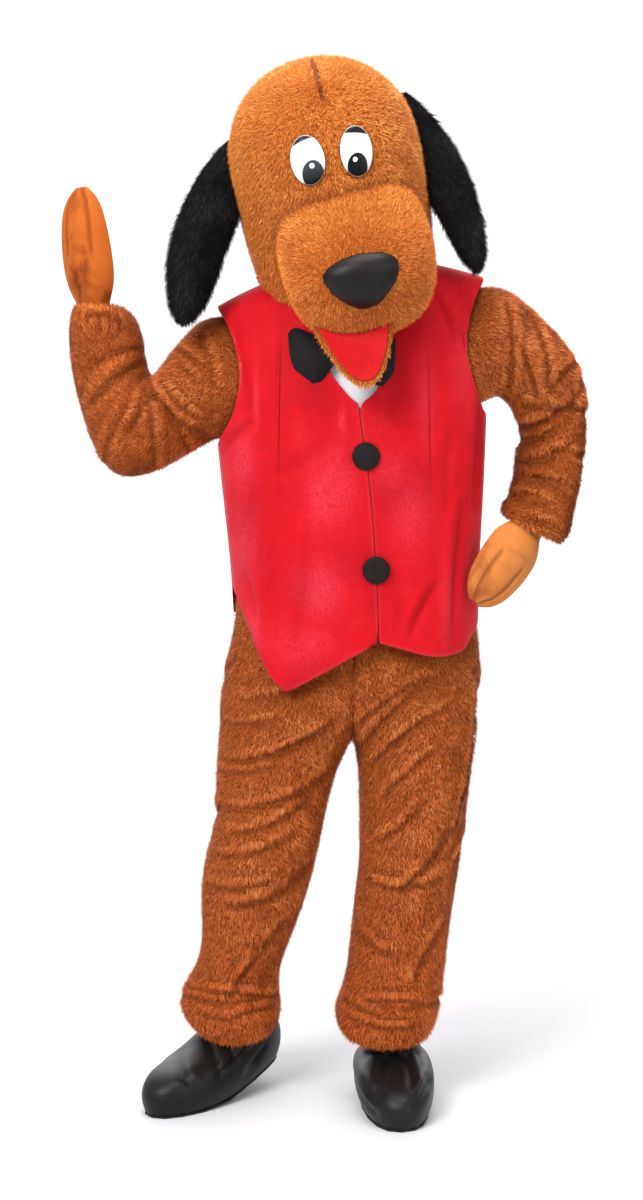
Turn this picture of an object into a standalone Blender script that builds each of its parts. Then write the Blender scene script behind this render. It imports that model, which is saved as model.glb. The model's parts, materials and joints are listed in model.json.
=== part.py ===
"""A dog costume as it is worn: a fur suit, a velour waistcoat, a padded dog head, two mitts and two shoe covers.

Sizes are in metres. X runs to the wearer's left, the wearer faces -Y, and Z is up. The tables give
heights above the soles, and place() moves each piece so that the origin is where the suit is held.
"""

import math

import bmesh
import bpy
import numpy as np
from mathutils import Matrix, Vector
from mathutils.bvhtree import BVHTree

# Driving sizes
HELD_AT = np.array((0.008, 0.0, 1.46))  # the middle of the shoulders, above the soles
SEAM = 0.0003  # clear space between two pieces at a seam
FUR = 0.008  # fur cloth: 2 mm of backing and 6 mm of pile
PRESSED_FUR = 0.005  # the same cloth under the waistcoat, where its pile lies flat
VELOUR = 0.0026
SATIN = 0.0020
HEAD_WALL = 0.014  # fur over a foam shell
PADDING = 0.010  # the mitts' wadded back
SHOE_CLOTH = 0.0022

SHOULDER_TILT = 0.104  # the wearer's left shoulder is the higher one: rise for each metre across
TILT_FROM, TILT_TO = 1.05, 1.38  # heights between which the tilt comes in
SIDE = math.pi / 2
SEAM_ANGLE = math.radians(0.045)

RED, DEEP_RED = (0.72, 0.01, 0.02), (0.60, 0.01, 0.02)
BROWN, BLACK, WHITE = (0.55, 0.20, 0.04), (0.015, 0.014, 0.016), (0.86, 0.86, 0.88)
TAN = (0.66, 0.30, 0.08)


class Table:
    """Rows of sizes under named columns. The first column is the key, and values between rows run smoothly."""

    def __init__(self, columns, *rows):
        self.columns = columns.split()
        self.rows = np.array(rows, float)

    def keys(self):
        return self.rows[:, 0]

    def column(self, name):
        return self.rows[:, self.columns.index(name)]

    def straight(self, name, key):
        return np.interp(key, self.keys(), self.column(name))

    def at(self, name, key):
        keys, values = self.keys(), self.column(name)
        slopes = np.gradient(values, keys)
        low = np.clip(np.searchsorted(keys, key) - 1, 0, len(keys) - 2)
        step = keys[low + 1] - keys[low]
        t = np.clip((key - keys[low]) / step, 0, 1)
        rise = t * t * (3 - 2 * t)
        return (
            values[low] * (1 - rise)
            + values[low + 1] * rise
            + step * slopes[low] * t * (1 - t) ** 2
            - step * slopes[low + 1] * (1 - t) * t**2
        )


def ease(t):
    t = np.clip(t, 0, 1)
    return t * t * (3 - 2 * t)


def material(name, colour, roughness):
    made = bpy.data.materials.get(name) or bpy.data.materials.new(name)
    made.use_nodes = True
    shader = made.node_tree.nodes["Principled BSDF"]
    shader.inputs["Base Color"].default_value = (*colour, 1)
    shader.inputs["Roughness"].default_value = roughness
    return made


def place(name, points, faces, finish):
    """One closed piece as an object, with its coincident points joined and its faces pointing out."""
    mesh = bpy.data.meshes.new(name)
    points = np.asarray(points, float) - HELD_AT
    mesh.from_pydata([tuple(p) for p in points], [], [tuple(int(i) for i in f) for f in faces])
    work = bmesh.new()
    work.from_mesh(mesh)
    bmesh.ops.remove_doubles(work, verts=work.verts, dist=2e-5)
    bmesh.ops.recalc_face_normals(work, faces=work.faces)
    work.to_mesh(mesh)
    work.free()
    mesh.shade_smooth()
    piece = bpy.data.objects.new(name, mesh)
    bpy.context.scene.collection.objects.link(piece)
    mesh.materials.append(material(*finish))
    return piece


def wall(name, outer, inner, finish, around=False):
    """A cloth wall between two grids of points [row, column], cut into the same triangles on both sides, so that its
    thickness holds. around joins the last column to the first."""
    rows, columns = outer.shape[:2]
    inside = rows * columns
    faces = []

    def at(layer, i, j):
        return layer * inside + i * columns + j % columns

    for i in range(rows - 1):
        for j in range(columns if around else columns - 1):
            a, b, c, d = (i, j), (i, j + 1), (i + 1, j + 1), (i + 1, j)
            one, other = (np.linalg.norm(outer[p[0], p[1] % columns] - outer[q[0], q[1] % columns])
                          for p, q in ((a, c), (b, d)))
            for triangle in ((a, b, c), (a, c, d)) if one < other else ((a, b, d), (b, c, d)):
                faces.append([at(0, *corner) for corner in triangle])
                faces.append([at(1, *corner) for corner in reversed(triangle)])
    for j in range(columns if around else columns - 1):
        faces.append([at(0, 0, j + 1), at(0, 0, j), at(1, 0, j), at(1, 0, j + 1)])
        top = rows - 1
        faces.append([at(0, top, j), at(0, top, j + 1), at(1, top, j + 1), at(1, top, j)])
    for j in () if around else (0, columns - 1):
        for i in range(rows - 1):
            low, high = (at(0, i, j), at(1, i, j)), (at(0, i + 1, j), at(1, i + 1, j))
            faces.append([low[0], high[0], high[1]][:: -1 if j else 1])
            faces.append([low[0], high[1], low[1]][:: -1 if j else 1])
    return place(name, np.concatenate([outer.reshape(-1, 3), inner.reshape(-1, 3)]), faces, finish)


def filled(name, rings, finish):
    """A stuffed piece: closed rings of points [ring, point], capped at both ends."""
    count, across = rings.shape[:2]
    faces = [list(range(across))[::-1], [(count - 1) * across + j for j in range(across)]]
    for i in range(count - 1):
        for j in range(across):
            k = (j + 1) % across
            faces.append([i * across + j, i * across + k, (i + 1) * across + k, (i + 1) * across + j])
    return place(name, rings.reshape(-1, 3), faces, finish)


def normals(grid):
    """The outward normals of a grid whose columns run anticlockwise seen from above and whose rows run up."""
    across, up = np.gradient(grid, axis=1), np.gradient(grid, axis=0)
    found = np.cross(across, up)
    lengths = np.linalg.norm(found, axis=2, keepdims=True)
    return found / np.maximum(lengths, 1e-12)


def kept_in_plane(found, rows, column, axis):
    """Normals on a seam edge, turned into the seam's plane, so that the two walls there stay apart."""
    found[rows, column, axis] = 0
    edge = found[rows, column]
    found[rows, column] = edge / np.linalg.norm(edge, axis=-1, keepdims=True)


def oval(angle, half_width, front, back, power=2.4):
    """(x, y) on a rounded section: angle 0 is the front, and a quarter turn is the wearer's left side."""
    s, c = np.sin(angle), np.cos(angle)
    x = half_width * np.sign(s) * np.abs(s) ** (2 / power)
    y = -np.sign(c) * np.where(c > 0, front, back) * np.abs(c) ** (2 / power)
    return x, y


def angle_of(x, half_width, power=2.4):
    """The front angle at which a section is x from its middle."""
    share = np.clip(np.abs(x) / half_width, 0, 0.9999)
    return np.sign(x) * np.arcsin(share ** (power / 2))


def fold_depth(folds, across, along, girth, length):
    """How far soft folds push a wall out (or in, if negative), at places given as shares of girth and length."""
    total = np.zeros(np.broadcast(across, along).shape)
    for row in folds.rows:
        a = dict(zip(folds.columns, row))
        start = np.array((a["across"] * girth, a["along"] * length))
        run = np.array(((a["to_across"] - a["across"]) * girth, (a["to_along"] - a["along"]) * length))
        px, py = across * girth - start[0], along * length - start[1]
        t = np.clip((px * run[0] + py * run[1]) / run.dot(run), 0, 1)
        off = np.hypot(px - t * run[0], py - t * run[1])
        total += a["height"] * np.exp(-((off / a["width"]) ** 2))
    return total


# The suit's body, under the waistcoat

BODY = Table(
    "height half_width front back middle",
    (0.980, 0.203, 0.124, 0.120, 0.008),
    (1.080, 0.210, 0.130, 0.118, 0.006),
    (1.200, 0.219, 0.133, 0.116, 0.003),
    (1.300, 0.222, 0.128, 0.112, 0.003),
    (1.370, 0.222, 0.112, 0.100, 0.002),
    (1.415, 0.219, 0.094, 0.088, 0.001),
    (1.440, 0.208, 0.080, 0.080, 0.001),
    (1.458, 0.166, 0.070, 0.075, 0.001),
    (1.472, 0.118, 0.064, 0.072, 0.001),
    (1.484, 0.082, 0.062, 0.070, 0.001),
)
ARMHOLE = Table(
    "side centre half_height half_angle",
    (-1, 1.322, 0.112, 40),
    (1, 1.338, 0.100, 38),
)
ARMHOLE_STEPS = 9


def tilted(x, height):
    return height + SHOULDER_TILT * x * ease((height - TILT_FROM) / (TILT_TO - TILT_FROM))


def on_body(rings, angle, height):
    """Points of a body section at these angles and heights, with the shoulders' tilt."""
    x, y = oval(angle, *(rings.at(name, height) for name in ("half_width", "front", "back")))
    x = x + rings.at("middle", height)
    return np.stack(np.broadcast_arrays(x, y, tilted(x, height)), axis=-1)


def side_edge(holes, side, below, above):
    """(heights, even heights, angles short of the side seam, armhole rows) up one side of a panel: the side seam,
    the armhole, then the shoulder seam. The even heights are for the panel's middle."""
    row = holes.rows[0 if side < 0 else 1]
    centre, half_height, half_angle = row[1:4]
    turn = np.linspace(0, math.pi, ARMHOLE_STEPS + 1)
    hole = centre - half_height * np.cos(turn)
    reach = math.radians(half_angle) * np.sin(turn)
    low = np.linspace(below[0], hole[0], below[1] + 1)[:-1]
    high = np.append(hole[-1] + (above[-1] - hole[-1]) * np.array(above[:-1]), above[-1])
    even = np.linspace(hole[0], hole[-1], len(hole))
    short = np.concatenate([low * 0, reach, high * 0])
    edge, even = (np.concatenate([low, middle, high]) for middle in (hole, even))
    return edge, even, np.maximum(short, SEAM_ANGLE), slice(below[1], below[1] + ARMHOLE_STEPS + 1)


def lerp(a, b, t):
    return a + (b - a) * t


COLUMNS = 10
NECK_DIP = 0.035
SHOULDER_SHARES = (0.42, 0.74)


def body_panel(rings, holes, facing, hem, rows_below, neck, columns=COLUMNS, dip=NECK_DIP):
    """The outer grid of a front (facing 1) or back (facing -1) panel, and its armhole rows."""
    above = (*SHOULDER_SHARES, neck)
    right, right_even, right_short, hole = side_edge(holes, -1, (hem, rows_below), above)
    left, left_even, left_short, _ = side_edge(holes, 1, (hem, rows_below), above)
    share = np.linspace(0, 1, columns + 1)
    first, last = ((right, right_even), (left, left_even))[:: 1 if facing > 0 else -1]
    heights = lerp(first[1][:, None], last[1][:, None], share)
    heights += (first[0] - first[1])[:, None] * np.maximum(1 - 2 * share, 0) ** 2
    heights += (last[0] - last[1])[:, None] * np.maximum(2 * share - 1, 0) ** 2
    if facing > 0:
        angles = lerp((right_short - SIDE)[:, None], (SIDE - left_short)[:, None], share)
    else:
        angles = lerp((SIDE + left_short)[:, None], (3 * SIDE - right_short)[:, None], share)
    middle = np.sin(np.pi * share) ** 2
    sunk = ease((heights - 1.36) / (neck - 1.36)) * dip
    return on_body(rings, angles, heights - sunk * middle), hole


def panel_wall(name, outer, hole, thickness, finish):
    out = normals(outer)
    rows = len(outer)
    seam_rows = [i for i in range(rows) if not hole.start < i < hole.stop - 1]
    for column in (0, -1):
        kept_in_plane(out, seam_rows, column, 1)
    return wall(name, outer, outer - out * thickness, finish)


FUR_FINISH = ("brown_fur", BROWN, 0.85)


def build_torso():
    """The suit's front and back. Each armhole's edge is the ring on which a sleeve starts."""
    waist = BODY.keys()[0] + SEAM
    neck = BODY.keys()[-1]
    front, hole = body_panel(BODY, ARMHOLE, 1, waist, 3, neck)
    back, _ = body_panel(BODY, ARMHOLE, -1, waist, 3, neck, dip=0.012)
    panel_wall("torso_front", front, hole, PRESSED_FUR, FUR_FINISH)
    panel_wall("torso_back", back, hole, PRESSED_FUR, FUR_FINISH)
    armholes = {}
    for side, front_column, back_column in ((-1, 0, -1), (1, -1, 0)):
        up, down = front[hole, front_column], back[hole, back_column][::-1]
        low, high = (up[0] + down[-1]) / 2, (up[-1] + down[0]) / 2
        armholes[side] = np.concatenate([[high], up[1:-1][::-1], [low], down[1:-1][::-1]])
    return armholes


# The sleeves

SLEEVE_RIGHT = Table(
    "step top_x top_z low_x low_z y front back",
    (1, -0.258, 1.410, -0.250, 1.190, 0.000, 0.088, 0.086),
    (2, -0.286, 1.382, -0.300, 1.158, 0.000, 0.084, 0.082),
    (3, -0.312, 1.352, -0.350, 1.132, 0.000, 0.079, 0.077),
    (4, -0.332, 1.324, -0.396, 1.124, 0.002, 0.075, 0.073),
    (5, -0.344, 1.308, -0.430, 1.138, 0.004, 0.073, 0.071),
    (6, -0.352, 1.311, -0.456, 1.184, 0.006, 0.071, 0.070),
    (7, -0.358, 1.328, -0.476, 1.244, 0.008, 0.068, 0.067),
    (8, -0.362, 1.352, -0.490, 1.302, 0.010, 0.065, 0.065),
    (9, -0.366, 1.378, -0.496, 1.350, 0.012, 0.064, 0.064),
    (10, -0.373, 1.402, -0.497, 1.388, 0.012, 0.060, 0.060),
    (11, -0.388, 1.419, -0.492, 1.414, 0.012, 0.050, 0.050),
    (12, -0.402, 1.426, -0.488, 1.428, 0.012, 0.042, 0.042),
)
SLEEVE_LEFT = Table(
    "step top_x top_z low_x low_z y front back",
    (1, 0.266, 1.466, 0.252, 1.278, 0.008, 0.083, 0.084),
    (2, 0.308, 1.438, 0.276, 1.262, 0.028, 0.080, 0.082),
    (3, 0.360, 1.396, 0.294, 1.238, 0.056, 0.077, 0.078),
    (4, 0.408, 1.344, 0.304, 1.214, 0.082, 0.074, 0.075),
    (5, 0.428, 1.288, 0.309, 1.196, 0.094, 0.071, 0.072),
    (6, 0.429, 1.232, 0.303, 1.178, 0.090, 0.069, 0.070),
    (7, 0.424, 1.172, 0.293, 1.146, 0.066, 0.067, 0.067),
    (8, 0.412, 1.112, 0.286, 1.108, 0.034, 0.065, 0.065),
    (9, 0.398, 1.062, 0.270, 1.082, 0.004, 0.062, 0.062),
    (10, 0.388, 1.028, 0.262, 1.074, -0.016, 0.056, 0.056),
    (11, 0.372, 1.012, 0.270, 1.062, -0.028, 0.046, 0.046),
)
# Folds run between two places, given as shares of the way round from the top, by the front, and down the sleeve.
SLEEVE_RIGHT_FOLDS = Table(
    "across along to_across to_along width height",
    (0.05, 0.46, 0.34, 0.30, 0.020, -0.007),
    (0.10, 0.42, 0.40, 0.42, 0.018, 0.006),
    (0.08, 0.50, 0.42, 0.56, 0.018, -0.006),
    (0.30, 0.66, 0.12, 0.80, 0.024, -0.006),
    (0.95, 0.46, 0.66, 0.34, 0.020, -0.007),
    (0.92, 0.52, 0.60, 0.60, 0.020, 0.005),
)
SLEEVE_LEFT_FOLDS = Table(
    "across along to_across to_along width height",
    (0.46, 0.47, 0.22, 0.36, 0.020, -0.007),
    (0.48, 0.54, 0.16, 0.50, 0.018, 0.006),
    (0.46, 0.62, 0.20, 0.66, 0.018, -0.006),
    (0.44, 0.76, 0.22, 0.82, 0.018, -0.006),
    (0.54, 0.50, 0.80, 0.40, 0.020, -0.006),
    (0.14, 0.10, 0.24, 0.30, 0.022, -0.005),
)


def ring_between(top, low, y, front, back, count):
    """A section of a limb between two outline points, starting at the top and running round by the front."""
    turn = np.linspace(0, 2 * math.pi, count, endpoint=False)
    top, low = np.array((top[0], y, top[1])), np.array((low[0], y, low[1]))
    depth = np.where(np.sin(turn) > 0, -front, back)
    ring = (top + low) / 2 + np.cos(turn)[:, None] * (top - low) / 2
    ring[:, 1] += np.abs(np.sin(turn)) * depth
    return ring


def inside_of(rings, thickness):
    """The same rings moved in towards their middles by the wall's thickness."""
    middle = rings.mean(axis=1, keepdims=True)
    spoke = rings - middle
    length = np.linalg.norm(spoke, axis=2, keepdims=True)
    return middle + spoke * (1 - thickness / length)


def folded(rings, folds, girth, length):
    """Rings with soft folds added along their spokes."""
    rows, count = rings.shape[:2]
    across = np.arange(count)[None, :] / count
    along = np.linspace(0, 1, rows)[:, None]
    push = fold_depth(folds, across, along, girth, length)
    spoke = rings - rings.mean(axis=1, keepdims=True)
    return rings + spoke / np.linalg.norm(spoke, axis=2, keepdims=True) * push[..., None]


def build_halves(name, outer, inner, turn, seams):
    """The front and back panels of a limb, cut from its closed grids at columns 0 and turn. seams gives, for each edge
    column of the grid, the rows below which the two panels are sewn to each other."""
    last = outer.shape[1] - 1
    for part, low, high in (("front", 0, turn), ("back", turn, last)):
        panel = [grid[:, low : high + 1].copy() for grid in (outer, inner)]
        for column, edge, way in ((low, 0, 1), (high, -1, -1)):
            across = outer[:, (column + 1) % last] - outer[:, (column - 1) % last]
            gap = across / np.linalg.norm(across, axis=1, keepdims=True) * way * SEAM / 2
            for grid in panel:
                grid[: seams[column], edge] += gap[: seams[column]]
        wall(f"{name}_{part}", *panel, FUR_FINISH)


def build_sleeve(name, side, armhole, rows, folds):
    start = armhole + np.array((side * SEAM * 1.5, 0, 0))
    rings = [start]
    for row in rows.rows:
        _, top_x, top_z, low_x, low_z, y, front, back = row
        rings.append(ring_between((top_x, top_z), (low_x, low_z), y, front, back, len(armhole)))
    rings = folded(np.array(rings), folds, 0.45, 0.55)
    rings[0] = start
    inner = inside_of(rings, FUR)
    rings, inner = (np.concatenate([grid, grid[:, :1]], axis=1) for grid in (rings, inner))
    turn, last, rows = rings.shape[1] // 2, rings.shape[1] - 1, len(rings)
    build_halves(name, rings, inner, turn, {0: rows, turn: rows, last: rows})


# The legs, each a front and a back panel: tubes up to the crotch, and above it a half of the hips

LEG_ANGLES = 18
CROTCH_X = 0.005
LEG_RIGHT = Table(
    "step outer_x outer_z inner_x inner_z y front back drop",
    (0, -0.290, 0.128, -0.134, 0.122, 0.076, 0.078, 0.070, 0.022),
    (1, -0.308, 0.150, -0.124, 0.142, 0.072, 0.090, 0.082, 0.022),
    (2, -0.312, 0.178, -0.124, 0.170, 0.066, 0.094, 0.086, 0.018),
    (3, -0.294, 0.212, -0.130, 0.206, 0.058, 0.088, 0.082, 0.010),
    (4, -0.272, 0.252, -0.123, 0.250, 0.046, 0.084, 0.082, 0.004),
    (5, -0.268, 0.318, -0.096, 0.318, 0.020, 0.086, 0.088, 0),
    (6, -0.270, 0.384, -0.075, 0.384, -0.004, 0.090, 0.094, 0),
    (7, -0.260, 0.450, -0.058, 0.450, -0.016, 0.095, 0.100, 0),
    (8, -0.243, 0.516, -0.045, 0.516, -0.014, 0.100, 0.108, 0),
    (9, -0.240, 0.572, -0.033, 0.572, -0.008, 0.106, 0.116, 0),
    (10, -0.241, 0.620, -0.017, 0.620, -0.002, 0.112, 0.122, 0),
    (11, -0.236, 0.662, 0.005, 0.662, 0.000, 0.118, 0.126, 0),
    (12, -0.235, 0.688, 0.005, 0.668, 0.000, 0.119, 0.127, 0),
    (13, -0.234, 0.712, 0.005, 0.682, 0.000, 0.121, 0.128, 0),
    (14, -0.231, 0.735, 0.005, 0.706, 0.000, 0.123, 0.130, 0),
    (15, -0.228, 0.757, 0.005, 0.738, 0.000, 0.125, 0.132, 0),
    (16, -0.223, 0.782, 0.005, 0.776, 0.000, 0.126, 0.133, 0),
    (17, -0.214, 0.822, 0.005, 0.822, 0.000, 0.126, 0.131, 0),
    (18, -0.204, 0.872, 0.005, 0.872, 0.000, 0.126, 0.128, 0),
    (19, -0.198, 0.924, 0.005, 0.924, 0.000, 0.125, 0.124, 0),
    (20, -0.195, 0.980, 0.005, 0.980, 0.000, 0.124, 0.120, 0),
)
LEG_LEFT = Table(
    "step outer_x outer_z inner_x inner_z y front back drop",
    (0, 0.146, 0.116, -0.010, 0.116, 0.030, 0.078, 0.072, 0.006),
    (1, 0.158, 0.138, -0.024, 0.138, 0.030, 0.088, 0.082, 0.006),
    (2, 0.165, 0.170, -0.030, 0.170, 0.028, 0.092, 0.086, 0.004),
    (3, 0.170, 0.208, -0.012, 0.208, 0.024, 0.088, 0.084, 0),
    (4, 0.174, 0.252, -0.004, 0.252, 0.018, 0.086, 0.084, 0),
    (5, 0.180, 0.318, 0.002, 0.318, 0.006, 0.088, 0.088, 0),
    (6, 0.190, 0.384, 0.008, 0.384, -0.004, 0.092, 0.094, 0),
    (7, 0.199, 0.450, 0.017, 0.450, -0.008, 0.096, 0.100, 0),
    (8, 0.207, 0.516, 0.016, 0.516, -0.008, 0.101, 0.108, 0),
    (9, 0.215, 0.572, 0.016, 0.572, -0.004, 0.106, 0.116, 0),
    (10, 0.222, 0.620, 0.013, 0.620, 0.000, 0.112, 0.122, 0),
    (11, 0.226, 0.662, 0.005, 0.662, 0.000, 0.118, 0.126, 0),
    (12, 0.226, 0.688, 0.005, 0.668, 0.000, 0.119, 0.127, 0),
    (13, 0.227, 0.712, 0.005, 0.682, 0.000, 0.121, 0.128, 0),
    (14, 0.229, 0.735, 0.005, 0.706, 0.000, 0.123, 0.130, 0),
    (15, 0.231, 0.757, 0.005, 0.738, 0.000, 0.125, 0.132, 0),
    (16, 0.232, 0.782, 0.005, 0.776, 0.000, 0.126, 0.133, 0),
    (17, 0.231, 0.822, 0.005, 0.822, 0.000, 0.126, 0.131, 0),
    (18, 0.224, 0.872, 0.005, 0.872, 0.000, 0.126, 0.128, 0),
    (19, 0.216, 0.924, 0.005, 0.924, 0.000, 0.125, 0.124, 0),
    (20, 0.211, 0.980, 0.005, 0.980, 0.000, 0.124, 0.120, 0),
)
CROTCH_ROW, CROTCH_Z, CROTCH_RISE = 11, 0.662, 0.105
# Shares of the way round from the inner seam, by the front, and up the leg
LEG_RIGHT_FOLDS = Table(
    "across along to_across to_along width height",
    (0.04, 0.745, 0.46, 0.655, 0.022, -0.007),
    (0.05, 0.665, 0.46, 0.575, 0.022, -0.007),
    (0.06, 0.545, 0.46, 0.460, 0.024, -0.008),
    (0.08, 0.605, 0.42, 0.515, 0.020, 0.005),
    (0.15, 0.358, 0.46, 0.270, 0.024, -0.008),
    (0.08, 0.225, 0.42, 0.085, 0.022, -0.007),
    (0.92, 0.620, 0.62, 0.500, 0.028, -0.007),
    (0.90, 0.360, 0.60, 0.260, 0.026, -0.007),
)
LEG_LEFT_FOLDS = Table(
    "across along to_across to_along width height",
    (0.05, 0.640, 0.24, 0.790, 0.022, -0.007),
    (0.40, 0.540, 0.27, 0.330, 0.020, -0.008),
    (0.08, 0.420, 0.30, 0.360, 0.026, -0.006),
    (0.16, 0.200, 0.40, 0.300, 0.024, -0.006),
    (0.92, 0.600, 0.62, 0.500, 0.028, -0.007),
    (0.90, 0.340, 0.60, 0.240, 0.026, -0.007),
)


def build_leg(name, side, rows, folds):
    """The columns run from the inner seam by the front to the outer side and by the back to the inner seam."""
    edge = CROTCH_X + side * SEAM / 2
    grid, centres = [], []
    for row in rows.rows:
        outer_x, outer_z, inner_x, inner_z, y, front, back, drop = row[1:]
        widest = math.pi
        if inner_z >= CROTCH_Z:
            inner_x, share = edge, min((inner_z - CROTCH_Z) / CROTCH_RISE, 1)
            widest = math.pi - math.acos(1 - share)
        half = (outer_x - inner_x) / (1 - math.cos(widest))
        centre = outer_x - half
        turn = np.linspace(widest, -widest, LEG_ANGLES + 1)
        power = 2.0 + 0.4 * ease((inner_z - CROTCH_Z - CROTCH_RISE / 2) / CROTCH_RISE)
        c, s = np.cos(turn), np.sin(turn)
        x = centre + half * np.sign(c) * np.abs(c) ** (2 / power)
        deep = np.where(s > 0, -front, back) * np.abs(s) ** (2 / power)
        z = lerp(inner_z, outer_z, (c - c[0]) / (1 - c[0])) - drop * s
        if inner_z >= CROTCH_Z:
            x[[0, -1]] = edge
        grid.append(np.stack([x, y + deep, z], axis=-1))
        centres.append((centre, y, (outer_z + inner_z) / 2))
    grid, centres = np.array(grid), np.array(centres)[:, None]
    across = np.linspace(0, 1, LEG_ANGLES + 1)[None, :]
    along = (grid[..., 2] - grid[0, 0, 2]) / (grid[-1, 0, 2] - grid[0, 0, 2])
    push = fold_depth(folds, across, along, 0.62, 0.86) * np.sin(np.pi * across) ** 0.5
    push *= ease(along * 12) * ease((1 - along) * 4)
    spoke = grid - centres
    out = spoke / np.linalg.norm(spoke, axis=2, keepdims=True)
    outer = grid + out * push[..., None]
    inward = out.copy()
    inward[CROTCH_ROW + 1 :, [0, -1], 0] = 0
    inner = outer - inward / np.linalg.norm(inward, axis=2, keepdims=True) * FUR
    inseam, turn = CROTCH_ROW + 1, LEG_ANGLES // 2
    build_halves(name, outer, inner, turn, {0: inseam, turn: len(outer), LEG_ANGLES: inseam})


# The waistcoat

VEST = Table(
    "height half_width front back middle",
    (0.740, 0.214, 0.158, 0.146, 0.011),
    (0.860, 0.217, 0.158, 0.144, 0.011),
    (0.960, 0.220, 0.157, 0.140, 0.009),
    (1.080, 0.229, 0.157, 0.136, 0.006),
    (1.200, 0.237, 0.155, 0.134, 0.003),
    (1.300, 0.239, 0.150, 0.130, 0.003),
    (1.380, 0.239, 0.131, 0.117, 0.002),
    (1.430, 0.236, 0.110, 0.104, 0.001),
    (1.456, 0.230, 0.096, 0.096, 0.001),
    (1.474, 0.184, 0.085, 0.089, 0.001),
    (1.490, 0.130, 0.078, 0.084, 0.001),
    (1.502, 0.094, 0.074, 0.081, 0.001),
)
VEST_ARMHOLE = Table(
    "side centre half_height half_angle",
    (-1, 1.324, 0.128, 39),
    (1, 1.340, 0.114, 37),
)
VEST_BELOW = 6
# The front closure and the V of the neck: where each front's inner edge is across the wearer
CLOSURE = Table(
    "height right left",
    (0.740, 0.049, 0.049),
    (0.850, 0.048, 0.048),
    (0.974, 0.043, 0.043),
    (1.110, 0.033, 0.033),
    (1.190, 0.022, 0.022),
    (1.246, 0.011, 0.011),
    (1.275, -0.011, 0.027),
    (1.320, -0.039, 0.053),
    (1.380, -0.058, 0.070),
    (1.440, -0.068, 0.080),
    (1.502, -0.078, 0.088),
)
# The hem's height at distances from the side seam towards the closure
HEM_RIGHT = Table(
    "x height", (0, 0.935), (0.008, 0.921), (0.034, 0.842), (0.054, 0.795), (0.091, 0.760), (0.253, 0.849)
)
HEM_LEFT = Table("x height", (0, 0.875), (0.010, 0.856), (0.024, 0.830), (0.082, 0.820), (0.180, 0.849))
HEM_BACK = 0.885
# Folds, as shares of the way from the closure to the side, and of the height
VEST_FOLDS_RIGHT = Table(
    "across along to_across to_along width height",
    (0.42, 0.50, 0.46, 0.80, 0.016, -0.005),
    (0.82, 0.10, 0.76, 0.42, 0.022, -0.006),
    (0.60, 0.06, 0.60, 0.26, 0.022, 0.004),
)
VEST_FOLDS_LEFT = Table(
    "across along to_across to_along width height",
    (0.88, 0.66, 0.62, 0.84, 0.018, -0.006),
    (0.74, 0.10, 0.72, 0.48, 0.024, -0.006),
    (0.46, 0.10, 0.52, 0.36, 0.022, 0.004),
)
VELOUR_FINISH = ("red_velour", RED, 0.6)
FRONT_SHARES = np.array((0, 0.10, 0.19, 0.286, 0.39, 0.50, 0.62, 0.74, 0.87, 1))[None, :]


def build_vest_front(name, side, hem, folds):
    """Columns run from the closure to the side seam and armhole on this side of the wearer."""
    above = (*SHOULDER_SHARES, VEST.keys()[-1])
    heights, even, short, hole = side_edge(VEST_ARMHOLE, side, (0.74, VEST_BELOW), above)
    even = (even + side_edge(VEST_ARMHOLE, -side, (0.74, VEST_BELOW), above)[1]) / 2
    column = "right" if side < 0 else "left"
    share = FRONT_SHARES
    middle, half = VEST.at("middle", 0.85), VEST.at("half_width", 0.85)
    start = angle_of(CLOSURE.straight(column, 0.85) - middle, half)
    from_side = half - side * oval(lerp(start, side * SIDE, share[0]), half, 1, 1)[0]
    edge = np.interp(from_side, hem.keys(), hem.column("height"))
    rise = np.linspace(0, 1, VEST_BELOW + 1)[:, None]
    above_hem = lerp(even[:, None], heights[:, None], share**2)
    below = lerp(edge[None, :], above_hem[VEST_BELOW], rise)[:-1]
    grid_heights = np.concatenate([below, above_hem[VEST_BELOW:]])
    start = angle_of(
        CLOSURE.straight(column, grid_heights) + side * SEAM - VEST.at("middle", grid_heights),
        VEST.at("half_width", grid_heights),
    )
    angles = lerp(start, (side * (SIDE - short))[:, None], share)
    grid = on_body(VEST, angles, grid_heights)
    if side < 0:
        grid = grid[:, ::-1]
    out = normals(grid)
    along = (grid[..., 2] - VEST.keys()[0]) / (VEST.keys()[-1] - VEST.keys()[0])
    across = np.abs(angles if side > 0 else angles[:, ::-1]) / SIDE
    push = fold_depth(folds, across, along, 0.30, 0.75) * np.sin(np.pi * np.clip(across, 0, 1)) ** 0.5
    grid = grid + out * push[..., None]
    out = normals(grid)
    rows = len(grid)
    seam_rows = [i for i in range(rows) if not hole.start < i < hole.stop - 1]
    side_column, front_column = (0, -1) if side < 0 else (-1, 0)
    kept_in_plane(out, seam_rows, side_column, 1)
    closed = [i for i in range(rows) if grid_heights[i, 0] < 1.26]
    kept_in_plane(out, closed, front_column, 0)
    wall(name, grid, grid - out * VELOUR, VELOUR_FINISH)


def build_vest_back():
    grid, hole = body_panel(VEST, VEST_ARMHOLE, -1, HEM_BACK, VEST_BELOW - 1, VEST.keys()[-1], dip=0.010)
    panel_wall("waistcoat_back", grid, hole, SATIN, ("red_satin", DEEP_RED, 0.35))


def vest_front_y(x, height):
    """How far forward the waistcoat's surface is at a place across and a height."""
    level = height - SHOULDER_TILT * x * ease((height - TILT_FROM) / (TILT_TO - TILT_FROM))
    share = np.clip(np.abs(x - VEST.at("middle", level)) / VEST.at("half_width", level), 0, 1)
    return -VEST.at("front", level) * (1 - share**2.4) ** (1 / 2.4)


# The shirt front, bow tie and buttons

SHIRT_LOW, SHIRT_HIGH = 1.19, 1.470
SHIRT_HALF = 0.088
SHIRT_OFF = 0.0029


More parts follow.
